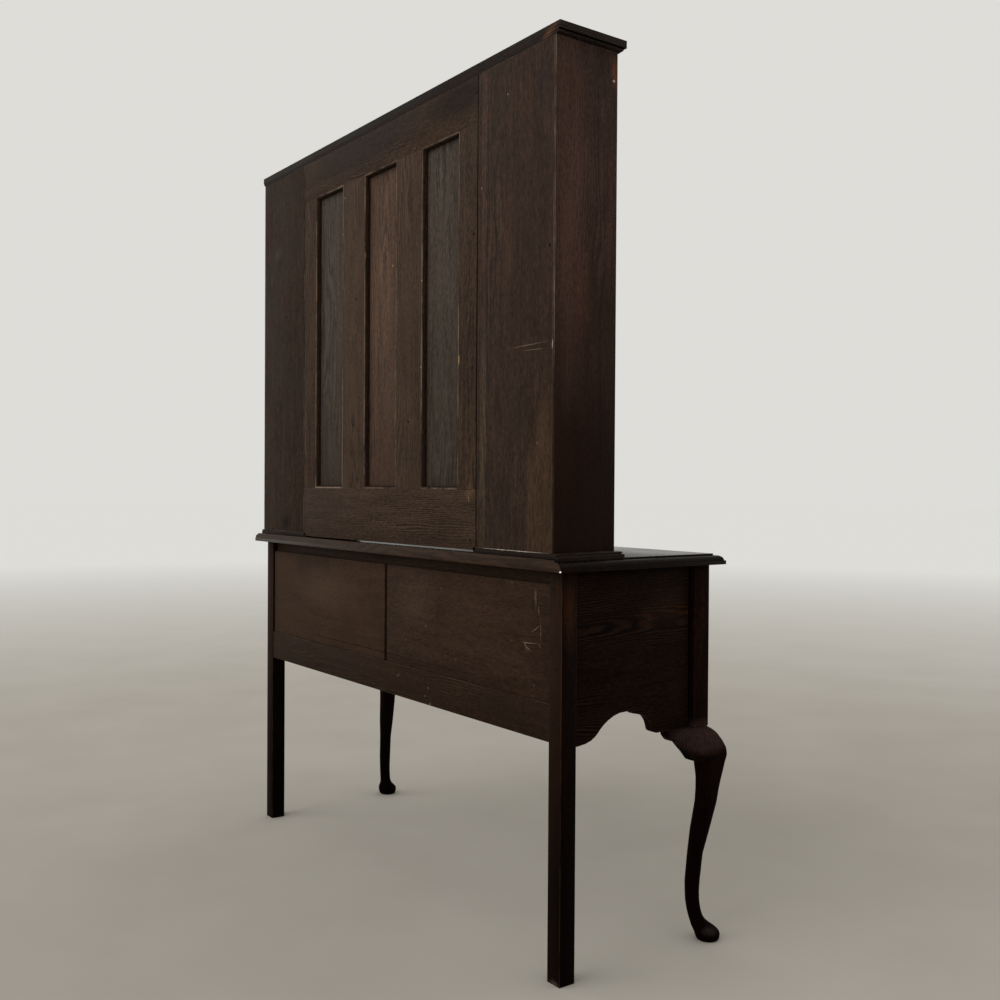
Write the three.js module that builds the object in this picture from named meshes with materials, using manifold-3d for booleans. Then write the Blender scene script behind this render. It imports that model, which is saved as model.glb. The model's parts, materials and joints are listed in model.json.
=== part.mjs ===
// A dresser in dark oak: a table base with two drawers, standing on cabriole legs in front
// and square legs behind, and a tall rack on top with an open middle, two cupboards and niches.
//
// Millimetres, +Z up. The front faces -Y and +X is on the right of somebody who faces it.
// The origin is on the floor, under the middle of the overall width and depth.
// Most places are given as a depth: the distance in front of the back legs' rear faces.

import * as THREE from 'three';
import { mergeVertices } from 'three/addons/utils/BufferGeometryUtils.js';
import Module from 'manifold-3d';

const wasm = await Module();
wasm.setup();

// Fits
const fit = 0.3; // gap between two pieces that are set against each other
const overrun = 2; // how far a cut runs past the face that it opens
const housing = 6; // how far a shelf or board is let into its neighbour
const tenon = 12; // how far an upright's or a runner's tenon goes in
const tenonShoulder = 4; // wood left around a tenon
const tenonCheek = 3; // wood left above and below a tenon in a thin rail

// Base: legs
const caseHalf = 657; // half of the width over the legs
const caseDepth = 394; // over the legs, front to back
const underTop = 780; // floor to the underside of the table top
const backLeg = 37; // square
const post = 42; // square part of a front leg

// Cabriole part of a front leg
const kneeTop = 443; // where the square post ends
const kneeThrow = 22.6; // how far the knee's middle stands out from the post's, each way
const kneeHalf = 33.5; // half of the knee's width at its fullest
// Each row: height, throw and half width as shares of the three sizes above, and squareness
const legStationShares = [
  [0, 1.0, 0.63, 2],
  [0.01, 0.995, 0.745, 2],
  [0.029, 0.976, 0.788, 2],
  [0.045, 0.876, 0.791, 2],
  [0.056, 0.735, 0.731, 2],
  [0.07, 0.55, 0.63, 2],
  [0.088, 0.344, 0.507, 2],
  [0.108, 0.2, 0.455, 2],
  [0.138, 0.089, 0.44, 2],
  [0.176, 0, 0.445, 2],
  [0.221, -0.031, 0.45, 2],
  [0.275, -0.011, 0.475, 2],
  [0.402, 0.149, 0.488, 2.05],
  [0.512, 0.429, 0.579, 2.3],
  [0.65, 0.814, 0.633, 2.6],
  [0.704, 0.889, 0.639, 3],
  [0.761, 0.969, 0.681, 3.5],
  [0.799, 1.0, 0.728, 4.5],
  [0.837, 1.018, 0.788, 5],
  [0.871, 0.996, 0.91, 5],
  [0.905, 0.819, 1.0, 5],
  [0.939, 0.597, 0.97, 5],
  [0.971, 0.376, 0.881, 5],
  [0.989, 0.199, 0.761, 6],
  [0.998, 0.033, 0.649, 12],
];
const legSides = 20;

// Knee blocks, one on each inner side of the post
const earLength = 72; // from the post to the tip
const earDrop = 74; // from the top to the lowest point, at the post
const earBulge = 31; // how far the block's face stands out at the post
const earLedge = 2; // how far the tip's top stands out in front of what is above it
// Each row: run from the post to the tip, drop and bulge, as shares of the three sizes above
const earStationShares = [
  [0, 0.93, 0.97],
  [0.09, 0.82, 0.86],
  [0.25, 0.65, 0.62],
  [0.43, 0.486, 0.42],
  [0.57, 0.338, 0.3],
  [0.85, 0.27, 0.14],
  [1, 0.108, 0.03],
];
// Section of a knee block: bulge and drop, as shares of their size at that station
const earSectionShares = [
  [0.45, 0.12],
  [0.85, 0.42],
  [1, 0.75],
  [0.65, 1],
];

// Table top
const topThick = 22;
const topOverSide = 27;
const topOverFront = 21;
const topOverBack = 26;
const noseHigh = 8; // lowest member of the edge moulding
const noseStep = 3;
const ovoloWide = 12;
const ovoloHigh = 10.5;
const topStep = 4;
const mouldingSteps = 5;

// Side panels
const sidePanelInset = 10; // from the legs' outer faces
const sidePanelThick = 16;
const skirtBottom = 444.5; // underside of the panels and the apron where they meet a leg
const sideRecess = 9; // width of the rebate against the front leg
const tongue = 8;
const tongueShoulder = 22;
const sideArchRise = 52.5;
// The shaped lower edge, back to front: shares of the panel's length and of the rise
const sideArchShares = [
  [[0, 0], [0.038, 0], [0.124, 0.08], [0.186, 0.28], [0.219, 0.486], [0.276, 0.75],
    [0.356, 0.96], [0.433, 1], [0.473, 1]],
  [[0.492, 0.886], [0.571, 0.78], [0.603, 0.676], [0.632, 0.43], [0.648, 0.133],
    [0.67, 0.057], [0.695, 0]],
];
const archSteps = 14;

// Base: back
const backRailHigh = 73;
const backRailBottom = 454;
const backRailSetBack = 1;
const backRailThick = 34;
const backPanelSetBack = 4;
const backPanelThick = 8;
const backPanelHigh = 226;
const backPanelSideGap = 3;
const backPanelMidGap = 12;
const topRailHigh = 38;
const topRailThick = 22;
const muntinHalf = 35;
const muntinThick = 12;

// Base: front, drawers and runners
const frontSetBack = 2; // from the posts' front faces
const frontRailHigh = 18;
const frontRailDeep = 62;
const apronThick = 22;
const apronTop = 560;
const apronRise = 62;
// The apron's lower edge from the middle to the post: shares of the half width and of the rise
const apronArchShares = [
  [[0, 0.16], [0.03, 0.2], [0.055, 0.42], [0.085, 0.55]],
  [[0.092, 0.7], [0.14, 0.86], [0.25, 0.97], [0.42, 1], [0.56, 0.96], [0.66, 0.8],
    [0.72, 0.52], [0.765, 0.2], [0.81, 0.05], [0.86, 0]],
];
const dividerHalf = 11;
const dividerDeep = 60;
const runnerThick = 15;
const runnerWide = 30;
const guideHigh = 15;
const guideGap = 3; // each side of a drawer
const drawerGap = 2; // round a drawer front
const drawerFrontThick = 20;
const drawerSideThick = 12;
const drawerBottomThick = 6;
const drawerBottomRise = 8;
const drawerBoxDrop = 15; // top of the drawer sides below the top of the front
const drawerBackGap = 14; // from the drawer's back to the base's back

// Drawer handles
const handleSpread = 150; // each way from the middle of a drawer
const plateHalf = 52;
const plateHigh = 34;
const plateThick = 2;
const handlePostHalf = 36; // each way from the middle of a handle
const handlePostRadius = 5;
const handlePostLong = 13;
const pivotReach = 9; // from the plate to the bail's axis
const bailRadius = 2.2;
const bailPlay = 0.4; // round the bail's ends in their holes
const bailDrop = 27;
const bailShoulder = 3.5; // from a post to the bail's outer side
const boltRadius = 2.5;
const boltLong = 15;
// Half of the plate's outline, from the bottom middle to the top middle, as shares
const plateShares = [
  [0, -0.9], [0.16, -1], [0.3, -0.72], [0.52, -0.6], [0.66, -0.86], [0.84, -0.62],
  [0.88, -0.2], [1, 0], [0.88, 0.22], [0.86, 0.6], [0.68, 0.84], [0.5, 0.58],
  [0.3, 0.74], [0.14, 1], [0, 0.88],
];
// Half of a bail's curve below its shoulder: across and down, as shares
const bailShares = [[0.93, 0.09], [0.9, 0.3], [0.97, 0.55], [0.93, 0.8], [0.72, 0.97], [0.4, 1], [0, 0.93]];
const roundSides = 12;
const wireSides = 8;
const wireSteps = 32;

// Rack: carcase
const rackInset = 9; // from the legs' outer faces to the rack's
const rackOverBack = 15; // behind the back legs' rear faces
const rackDeep = 152.5;
const rackTopUnder = 1775;
const rackTopThick = 23;
const sideThick = 20;
const sideLip = 4; // rim left outside the back boards
const cupboardWide = 231; // from the middle of a partition to the inside of the rack's side
const partitionHalf = 11;
const backThick = 18;
const corniceOverSide = 11;
const corniceOverFront = 13.5;
const fasciaHigh = 12;
const corniceFillet = 2;
const coveStep = 5;

// Rack: cupboard bottoms
const bottomThick = 11;
const bottomOverSide = 15;
const bottomOverFront = 14;
const bottomNose = 4;
const bottomRound = 6;

// Rack: framed back
const backFrameBottom = 806;
const backRailLow = 125; // width of the bottom rail
const backRailTop = 97; // width of the top rail
const middlePanelHalf = 75;
const backMuntinWide = 107;
const backStileWide = 67;
const panelRecess = 12;
const panelLap = 8;

// Rack: shelves and frieze
const shelfThick = 18;
const upperShelfMiddle = 1388;
const lowerShelfMiddle = 1080;
const upperShelfSetBack = 6;
const lowerShelfSetBack = 12;
const friezeHigh = 70;
const friezeThick = 16;
const friezeRise = 40;
// The frieze's lower edge from the middle outwards: shares of its half width and of the rise
const friezeShares = [
  [[0, 1], [0.16, 0.97], [0.3, 0.82], [0.42, 0.5], [0.5, 0.16], [0.56, 0.03], [0.632, 0]],
  [[0.65, 0.16], [0.7, 0.55], [0.76, 0.76], [0.816, 0.82], [0.872, 0.76], [0.93, 0.55], [0.985, 0.16]],
];

// Rack: doors
const doorGap = 1.5;
const doorThick = 18;
const stileWide = 46;
const doorRailLow = 58;
const doorRailTop = 42;
const doorArchRise = 48;
const doorArchSteps = 12;
const doorPanelThick = 6;
const doorPanelTongue = 7;
const fieldRise = 4.5;
const fieldEdge = 5;
const fieldSlope = 16;
const knobRadius = 13;
const knobLong = 25;
const knobShank = 4;
const knobShankLong = 10;
// Profile of a knob, from its foot outwards: radius and length, as shares
const knobShares = [[0.72, 0], [0.72, 0.09], [0.42, 0.18], [0.36, 0.36], [0.6, 0.5], [0.9, 0.62],
  [1, 0.76], [0.88, 0.9], [0.5, 0.98]];
const barrelRadius = 3;
const barrelHigh = 52;
const leafThick = 1.2;
const leafWide = 17;
const hingeInset = 78; // from the end of the door to the middle of a hinge

// Places worked out from the sizes above
const postHalf = post / 2;
const legStations = legStationShares.map(([up, out, half, squareness]) => (
  { up: up * kneeTop, out: out * kneeThrow, half: half * kneeHalf, squareness }));
const kneeReach = Math.max(...legStations.map(({ out, half }) => out + half)) - postHalf;
const frontReach = caseDepth + Math.max(kneeReach, topOverFront);
const backY = (frontReach - topOverBack) / 2;
const legInner = caseHalf - backLeg;
const postInner = caseHalf - post;
const postBack = caseDepth - post;
const frontFace = caseDepth - frontSetBack;
const tableTop = underTop + topThick;
const rackHalf = caseHalf - rackInset;
const legTop = underTop - fit;
const rackBack = -rackOverBack;
const rackFront = rackBack + rackDeep;
const rackBackInner = rackBack + backThick;
const rackFloor = tableTop + fit;
const bottomTop = tableTop + bottomThick;
const rackTopZ = rackTopUnder - fit;
const sideInner = rackHalf - sideThick;
const partitionMiddle = sideInner - cupboardWide;
const partitionIn = partitionMiddle - partitionHalf;
const partitionOut = partitionMiddle + partitionHalf;
const outerPanelInner = middlePanelHalf + backMuntinWide;
const outerPanelOuter = partitionMiddle - backStileWide;

// Finishes
const finish = (color, roughness, metalness = 0) => (
  new THREE.MeshStandardMaterial({ color, roughness, metalness }));
const blackOak = finish(0x1f1610, 0.6);
const darkOak = finish(0x3a2f26, 0.65);
const brownOak = finish(0x2e2421, 0.6);
const greyPanel = finish(0x46403a, 0.75);
const redPanel = finish(0x4a3a32, 0.7);
const paleWood = finish(0x7a6248, 0.7);
const brass = finish(0x8a6b35, 0.4, 1);

// A closed geometry as a solid that can be joined and cut
function solid(geometry) {
  const bare = geometry.clone();
  bare.deleteAttribute('normal');
  bare.deleteAttribute('uv');
  const merged = mergeVertices(bare);
  return new wasm.Manifold(new wasm.Mesh({
    numProp: 3,
    vertProperties: Float32Array.from(merged.attributes.position.array),
    triVerts: Uint32Array.from(merged.index.array),
  }));
}

function geometryOf(body) {
  const { vertProperties, triVerts } = body.getMesh();
  const geometry = new THREE.BufferGeometry();
  geometry.setAttribute('position', new THREE.BufferAttribute(vertProperties, 3));
  geometry.setIndex(Array.from(triVerts));
  geometry.computeVertexNormals();
  return geometry;
}

// A copy on the other side of the middle, with its faces still pointing out
function mirrored(geometry) {
  const copy = geometry.clone();
  copy.scale(-1, 1, 1);
  const corners = Array.from(copy.index.array);
  for (let i = 0; i < corners.length; i += 3) {
    [corners[i], corners[i + 1]] = [corners[i + 1], corners[i]];
  }
  copy.setIndex(corners);
  copy.computeVertexNormals();
  return copy;
}

// A box between two x, two depths and two heights, grown by spare all round
function board(x, depth, z, spare = 0) {
  const geometry = new THREE.BoxGeometry(
    x[1] - x[0] + 2 * spare, depth[1] - depth[0] + 2 * spare, z[1] - z[0] + 2 * spare);
  geometry.translate((x[0] + x[1]) / 2, backY - (depth[0] + depth[1]) / 2, (z[0] + z[1]) / 2);
  return solid(geometry);
}

const roomFor = (x, depth, z) => board(x, depth, z, fit);
const eachWay = (half) => [-half, half];

// A skin over a stack of rings that all have as many points, closed at both ends
function loft(rings) {
  const count = rings[0].length;
  const last = (rings.length - 1) * count;
  const corners = [];
  for (let start = 0; start < last; start += count) {
    for (let i = 0; i < count; i += 1) {
      const a = start + i;
      const b = start + (i + 1) % count;
      corners.push(a, b, b + count, a, b + count, a + count);
    }
  }
  for (let i = 1; i + 1 < count; i += 1) {
    corners.push(0, i + 1, i, last, last + i, last + i + 1);
  }
  const geometry = new THREE.BufferGeometry().setFromPoints(rings.flat());
  geometry.setIndex(corners);
  return solid(geometry);
}

// An outline in (x, z) made thick from one depth to another
function frontCut(outline, depth) {
  const thick = depth[1] - depth[0];
  const geometry = new THREE.ExtrudeGeometry(outline, { depth: thick, bevelEnabled: false });
  geometry.applyMatrix4(new THREE.Matrix4().makeBasis(
    new THREE.Vector3(1, 0, 0), new THREE.Vector3(0, 0, 1), new THREE.Vector3(0, -1, 0)));
  geometry.translate(0, backY - depth[0], 0);
  return solid(geometry);
}

// An outline in (depth, z) made thick from one x to another
function sideCut(outline, x) {
  const geometry = new THREE.ExtrudeGeometry(outline, { depth: x[1] - x[0], bevelEnabled: false });
  geometry.applyMatrix4(new THREE.Matrix4().makeBasis(
    new THREE.Vector3(0, -1, 0), new THREE.Vector3(0, 0, 1), new THREE.Vector3(-1, 0, 0)));
  geometry.translate(x[1], backY, 0);
  return solid(geometry);
}

// Smooth runs through share points, with a corner between one run and the next
function smoothRuns(runs, wide, high) {
  return runs.flatMap((run) => {
    const points = run.map(([across, up]) => new THREE.Vector2(across * wide, up * high));
    return new THREE.SplineCurve(points).getPoints(archSteps);
  });
}

const both = (points) => (
  [...points].reverse().map(({ x, y }) => new THREE.Vector2(-x, y)).concat(points.slice(1)));

// A board moulded along its front and, where asked, along its sides; its back edge is square
function mouldedBoard(x, depth, floor, profile, mouldedLeft) {
  return loft(profile.map(({ inset, rise }) => {
    const xLow = x[0] + (mouldedLeft ? inset : 0);
    const xHigh = x[1] - inset;
    const yFront = backY - depth[1] + inset;
    const yBack = backY - depth[0];
    return [[xLow, yFront], [xHigh, yFront], [xHigh, yBack], [xLow, yBack]].map(
      ([px, py]) => new THREE.Vector3(px, py, floor + rise));
  }));
}

// A quarter of an ellipse from (inset, rise), going in and up
function quarter(inset, rise, wide, high) {
  return Array.from({ length: mouldingSteps + 1 }, (_, i) => {
    const turn = (i / mouldingSteps) * Math.PI / 2;
    return { inset: inset + wide * (1 - Math.cos(turn)), rise: rise + high * Math.sin(turn) };
  });
}

const dresser = new THREE.Group();

function add(name, body, material, x = 0, y = 0, z = 0) {
  const mesh = new THREE.Mesh(body instanceof THREE.BufferGeometry ? body : geometryOf(body), material);
  mesh.name = name;
  mesh.position.set(x, y, z);
  dresser.add(mesh);
}

// The piece on the right, and its mirror image on the left
function addPair(name, body, material) {
  const geometry = geometryOf(body);
  add(`${name}_right`, geometry, material);
  add(`${name}_left`, mirrored(geometry), material);
}

// Tenons and tongues, each a list of three ranges that a piece adds and its neighbour makes room for
const frontRailZ = [underTop - frontRailHigh, legTop];
const apronDepth = [frontFace - apronThick, frontFace];
const frontRailDepth = [frontFace - frontRailDeep, frontFace];
const topRailZ = [underTop - topRailHigh, legTop];
const backPanelDepth = [backPanelSetBack, backPanelSetBack + backPanelThick];
const topRailDepth = [backPanelDepth[1] + fit, backPanelDepth[1] + fit + topRailThick];
const lowRailZ = [backRailBottom, backRailBottom + backRailHigh];
const lowRailDepth = [backRailSetBack, backRailSetBack + backRailThick];
const runnerZ = [apronTop - runnerThick, apronTop];
const shrunk = ([low, high]) => [low + tenonShoulder, high - tenonShoulder];
const sidePanelOuter = caseHalf - sidePanelInset;
const sidePanelX = [sidePanelOuter - sidePanelThick, sidePanelOuter];
const tenonEnd = sidePanelX[0] - 2 * fit; // the rails' tenons stop short of the side panels' tongues

const postTenonX = [postInner - fit - overrun, tenonEnd];
const legTenonX = [legInner - fit - overrun, tenonEnd];
const frontRailTenon = [postTenonX, [postBack + tenonShoulder, frontFace - tenonShoulder],
  [frontRailZ[0] + tenonCheek, frontRailZ[1] - tenonCheek]];
const apronTenon = [postTenonX, shrunk(apronDepth),
  [skirtBottom + tongueShoulder, apronTop - tenonShoulder]];
const topRailTenon = [legTenonX, shrunk(topRailDepth), shrunk(topRailZ)];
const lowRailTenon = [legTenonX, shrunk(lowRailDepth), shrunk(lowRailZ)];
const sideTongueX = [sidePanelX[0], sidePanelX[0] + sidePanelThick / 2];
const sideTongueZ = [skirtBottom + tongueShoulder, legTop - tongueShoulder];
const backTongue = [sideTongueX, [backLeg - tongue, backLeg + overrun], sideTongueZ];
const frontTongue = [sideTongueX, [postBack - overrun, postBack + tongue], sideTongueZ];
const mirrorRange = ([low, high]) => [-high, -low];

// Table top
const topProfile = [
  { inset: 0, rise: 0 },
  { inset: 0, rise: noseHigh },
  ...quarter(noseStep, noseHigh, ovoloWide, ovoloHigh),
  { inset: noseStep + ovoloWide + topStep, rise: noseHigh + ovoloHigh },
  { inset: noseStep + ovoloWide + topStep, rise: topThick },
];
add('table_top', mouldedBoard(eachWay(caseHalf + topOverSide), [-topOverBack, caseDepth + topOverFront],
  underTop, topProfile, true), blackOak);

// Back legs
addPair('back_leg', board([legInner, caseHalf], [0, backLeg], [0, legTop])
  .subtract(roomFor(...topRailTenon))
  .subtract(roomFor(...lowRailTenon))
  .subtract(roomFor(...backTongue)), blackOak);

// Front legs: a square post, the cabriole part below it and two knee blocks
function legRing({ up, out, half, squareness }, centre) {
  const power = 2 / squareness;
  return Array.from({ length: legSides }, (_, i) => {
    const turn = (i / legSides) * 2 * Math.PI;
    const round = (value) => Math.sign(value) * Math.abs(value) ** power;
    return new THREE.Vector3(centre.x + out + half * round(Math.cos(turn)),
      centre.y - out + half * round(Math.sin(turn)), up);
  });
}

function kneeBlock(place) {
  const top = skirtBottom - fit;
  const start = [-post / earLength / 2, ...earStationShares[0].slice(1)];
  const innerFace = postHalf - sidePanelInset - sidePanelThick;
  const rings = [start, ...earStationShares].map(([run, drop, bulge]) => {
    const reach = Math.max(run, 0);
    const face = postHalf - reach * (sidePanelInset - earLedge);
    const low = drop * earDrop;
    const out = bulge * earBulge;
    const section = earSectionShares.map(([aside, down]) => [face + aside * out, top - down * low]);
    return [[innerFace, top], [face, top], ...section, [innerFace, top - low]].map(
      ([across, z]) => place(across, postHalf + run * earLength, z));
  });
  return rings;
}

function frontLeg() {
  const centre = { x: caseHalf - postHalf, y: backY - caseDepth + postHalf };
  const sideBlock = kneeBlock((across, run, z) => (
    new THREE.Vector3(centre.x + across, centre.y + run, z)));
  const frontBlock = kneeBlock((across, run, z) => (
    new THREE.Vector3(centre.x - run, centre.y - across, z)));
  return board([postInner, caseHalf], [postBack, caseDepth], [kneeTop - overrun, legTop])
    .add(loft(legStations.map((station) => legRing(station, centre))))
    .add(loft(sideBlock))
    .add(loft(frontBlock.map((ring) => ring.reverse())))
    .subtract(roomFor(...frontRailTenon))
    .subtract(roomFor(...apronTenon))
    .subtract(roomFor(...frontTongue));
}
addPair('front_leg', frontLeg(), blackOak);

// Side panels, thinner where they meet the front leg
function sidePanel() {
  const length = postBack - backLeg - 2 * fit;
  const start = backLeg + fit;
  const edge = smoothRuns(sideArchShares, length, sideArchRise).map(
    (point) => point.add(new THREE.Vector2(start, skirtBottom)));
  const outline = new THREE.Shape([
    ...edge,
    new THREE.Vector2(start + length, skirtBottom),
    new THREE.Vector2(start + length, legTop),
    new THREE.Vector2(start, legTop),
  ]);
  const recess = board([sideTongueX[1], sidePanelOuter + overrun],
    [postBack - sideRecess, postBack + overrun], [skirtBottom - overrun, underTop + overrun]);
  return sideCut(outline, sidePanelX).subtract(recess).add(board(...backTongue)).add(board(...frontTongue));
}
addPair('side_panel', sidePanel(), blackOak);

// Back of the base: two rails, a muntin and two thin panels
const runnerTenon = (x) => [x, [apronDepth[0] - fit - overrun, apronDepth[0] + tenon - fit],
  [runnerZ[0] + tenonCheek, runnerZ[1] - tenonCheek]];
const lowRailLip = [eachWay(legInner - fit), [backPanelDepth[1] + fit, lowRailDepth[1]],
  [lowRailZ[1] - overrun, runnerZ[0] - fit]];
const muntin = [eachWay(muntinHalf), [backPanelDepth[1] + fit, backPanelDepth[1] + fit + muntinThick],
  [lowRailLip[2][1] + fit, topRailZ[0] - fit]];
const muntinTenon = [eachWay(muntinHalf - tenonShoulder), shrunk(muntin[1]),
  [muntin[2][0] - tenon / 2, muntin[2][1] + tenon / 2]];
add('back_top_rail', board(eachWay(legInner - fit), topRailDepth, topRailZ)
  .add(board(...topRailTenon))
  .add(board(mirrorRange(topRailTenon[0]), topRailTenon[1], topRailTenon[2]))
  .subtract(roomFor(...muntinTenon)), blackOak);
add('back_bottom_rail', board(eachWay(legInner - fit), lowRailDepth, lowRailZ)
  .add(board(...lowRailLip))
  .add(board(...lowRailTenon))
  .add(board(mirrorRange(lowRailTenon[0]), lowRailTenon[1], lowRailTenon[2]))
  .subtract(roomFor(...muntinTenon)), blackOak);
add('back_muntin', board(...muntin).add(board(...muntinTenon)), blackOak);
addPair('back_panel', board([backPanelMidGap / 2, legInner - backPanelSideGap], backPanelDepth,
  [lowRailZ[1] + fit, lowRailZ[1] + backPanelHigh]), darkOak);

// Front of the base: top rail and shaped apron
const outerRunnerX = [postInner - fit - runnerWide, postInner - fit];
const outerRunnerTenon = runnerTenon(shrunk(outerRunnerX));
const middleRunnerHalf = dividerHalf + runnerWide;
const middleRunnerTenon = runnerTenon(eachWay(middleRunnerHalf - tenonShoulder));
const dividerZ = [apronTop + fit, frontRailZ[0] - fit];
const dividerTenon = [eachWay(dividerHalf / 2), shrunk(frontRailDepth),
  [dividerZ[1] - overrun, dividerZ[1] + frontRailHigh / 2]];
add('front_top_rail', board(eachWay(postInner - fit), frontRailDepth, frontRailZ)
  .add(board(...frontRailTenon))
  .add(board(mirrorRange(frontRailTenon[0]), frontRailTenon[1], frontRailTenon[2]))
  .subtract(roomFor(...dividerTenon)), blackOak);

function apron() {
  const half = postInner - fit;
  const edge = both(smoothRuns(apronArchShares, half, apronRise)).map(
    (point) => point.add(new THREE.Vector2(0, skirtBottom)));
  const outline = new THREE.Shape([
    new THREE.Vector2(-half, skirtBottom),
    ...edge,
    new THREE.Vector2(half, skirtBottom),
    new THREE.Vector2(half, apronTop),
    new THREE.Vector2(-half, apronTop),
  ]);
  return frontCut(outline, apronDepth)
    .add(board(...apronTenon))
    .add(board(mirrorRange(apronTenon[0]), apronTenon[1], apronTenon[2]))
    .subtract(roomFor(...middleRunnerTenon))
    .subtract(roomFor(...outerRunnerTenon))
    .subtract(roomFor(mirrorRange(outerRunnerTenon[0]), outerRunnerTenon[1], outerRunnerTenon[2]));
}
add('front_apron', apron(), blackOak);

// The upright between the drawers, in one with the runner and guide behind it
const runnerDepth = [muntin[1][1] + fit, apronDepth[0] - fit];
const guideDepth = [backLeg + fit, postBack - fit];
const guideZ = [runnerZ[0], apronTop + guideHigh];
add('drawer_divider', board(eachWay(dividerHalf), [frontFace - dividerDeep, frontFace], dividerZ)
  .add(board(eachWay(dividerHalf), [frontFace - dividerDeep, runnerDepth[1]], [apronTop - overrun, dividerZ[1]]))
  .add(board(eachWay(middleRunnerHalf), runnerDepth, runnerZ))
  .add(board(eachWay(dividerHalf), guideDepth, guideZ))
  .add(board(...middleRunnerTenon))
  .add(board(...dividerTenon)), blackOak);

const drawerX = [dividerHalf + guideGap, postInner - guideGap - drawerGap];
addPair('drawer_runner', board(outerRunnerX, runnerDepth, runnerZ)
  .add(board([drawerX[1] + guideGap, sidePanelX[0] - fit], guideDepth, guideZ))
  .add(board(...outerRunnerTenon)), paleWood);

// Drawers: a front, and behind it the sides, back and bottom
const drawerFrontX = [dividerHalf + drawerGap, postInner - drawerGap];
const drawerFrontZ = [apronTop + drawerGap, frontRailZ[0] - drawerGap];
const drawerFrontDepth = [frontFace - drawerFrontThick, frontFace];
const drawerBoxDepth = [topRailDepth[1] + drawerBackGap, drawerFrontDepth[0] - fit];
const drawerBoxZ = [apronTop + fit, drawerFrontZ[1] - drawerBoxDrop];
const drawerMiddle = (drawerFrontX[0] + drawerFrontX[1]) / 2;
const drawerMidZ = (drawerFrontZ[0] + drawerFrontZ[1]) / 2;
const handleXs = [drawerMiddle - handleSpread, drawerMiddle + handleSpread];

function rod(radius, length, sides, axis) {
  const geometry = new THREE.CylinderGeometry(radius, radius, length, sides);
  if (axis === 'x') {
    geometry.rotateZ(Math.PI / 2);
  } else if (axis === 'z') {
    geometry.rotateX(Math.PI / 2);
  }
  return geometry;
}

function drawerFront() {
  let body = board(drawerFrontX, drawerFrontDepth, drawerFrontZ);
  const lap = board([drawerX[0] + drawerSideThick, drawerX[1] - drawerSideThick],
    [drawerFrontDepth[0], drawerFrontDepth[0] + housing],
    [drawerBoxZ[0] + drawerBottomRise, drawerBoxZ[0] + drawerBottomRise + drawerBottomThick], fit);
  body = body.subtract(lap);
  for (const x of handleXs) {
    for (const side of eachWay(handlePostHalf)) {
      const hole = rod(boltRadius + fit, 2 * (boltLong + fit), roundSides, 'y');
      hole.translate(x + side, backY - frontFace, drawerMidZ);
      body = body.subtract(solid(hole));
    }
  }
  return body;
}
addPair('drawer_front', drawerFront(), blackOak);

function drawerBox() {
  const inside = board([drawerX[0] + drawerSideThick, drawerX[1] - drawerSideThick],
    [drawerBoxDepth[0] + drawerSideThick, drawerBoxDepth[1] + overrun],
    [drawerBoxZ[0] + drawerBottomRise + drawerBottomThick, drawerBoxZ[1] + overrun]);
  const under = board([drawerX[0] + drawerSideThick, drawerX[1] - drawerSideThick],
    [drawerBoxDepth[0] + drawerSideThick, drawerBoxDepth[1] + overrun],
    [drawerBoxZ[0] - overrun, drawerBoxZ[0] + drawerBottomRise]);
  const lip = board([drawerX[0] + drawerSideThick, drawerX[1] - drawerSideThick],
    [drawerBoxDepth[1] - overrun, drawerFrontDepth[0] + housing],
    [drawerBoxZ[0] + drawerBottomRise, drawerBoxZ[0] + drawerBottomRise + drawerBottomThick]);
  return board(drawerX, drawerBoxDepth, drawerBoxZ).subtract(inside).subtract(under).add(lip);
}
addPair('drawer_box', drawerBox(), paleWood);

// Handles: a plate with two posts and bolts, and a bail whose ends turn in the posts.
// A handle's own origin is on the bail's axis, in the middle of the handle.
function handlePlate() {
  const points = plateShares.map(([across, up]) => (
    new THREE.Vector2(across * plateHalf, up * plateHigh / 2)));
  const rest = points.slice(1, -1).reverse().map(({ x, y }) => new THREE.Vector2(-x, y));
  const geometry = new THREE.ExtrudeGeometry(new THREE.Shape([...points, ...rest]),
    { depth: plateThick, bevelEnabled: false });
  geometry.rotateX(Math.PI / 2);
  geometry.translate(0, pivotReach + plateThick, 0);
  let body = solid(geometry);
  const long = handlePostLong + plateThick + boltLong;
  for (const side of eachWay(handlePostHalf)) {
    const round = rod(handlePostRadius, handlePostLong + plateThick / 2, roundSides, 'y');
    round.translate(side, pivotReach - handlePostLong / 2 + plateThick / 4, 0);
    const bolt = rod(boltRadius, long - handlePostLong, roundSides, 'y');
    bolt.translate(side, pivotReach + (long - handlePostLong) / 2, 0);
    body = body.add(solid(round)).add(solid(bolt));
  }
  const bore = rod(bailRadius + bailPlay, 2 * handlePostHalf, roundSides, 'x');
  return body.subtract(solid(bore));
}

function handleBail() {
  const end = handlePostHalf - bailPlay;
  const shoulder = handlePostHalf - handlePostRadius - bailShoulder;
  const half = [[end, 0], [handlePostHalf - handlePostRadius, 0],
    ...bailShares.map(([across, down]) => [across * shoulder, -down * bailDrop])];
  const points = [...half, ...half.slice(0, -1).reverse().map(([x, z]) => [-x, z])];
  const path = new THREE.CatmullRomCurve3(points.map(([x, z]) => new THREE.Vector3(x, 0, z)));
  const section = Array.from({ length: wireSides }, (_, i) => {
    const turn = (i / wireSides) * 2 * Math.PI;
    return new THREE.Vector2(bailRadius * Math.cos(turn), bailRadius * Math.sin(turn));
  });
  return solid(new THREE.ExtrudeGeometry(new THREE.Shape(section),
    { steps: wireSteps, extrudePath: path, bevelEnabled: false }));
}

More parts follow.
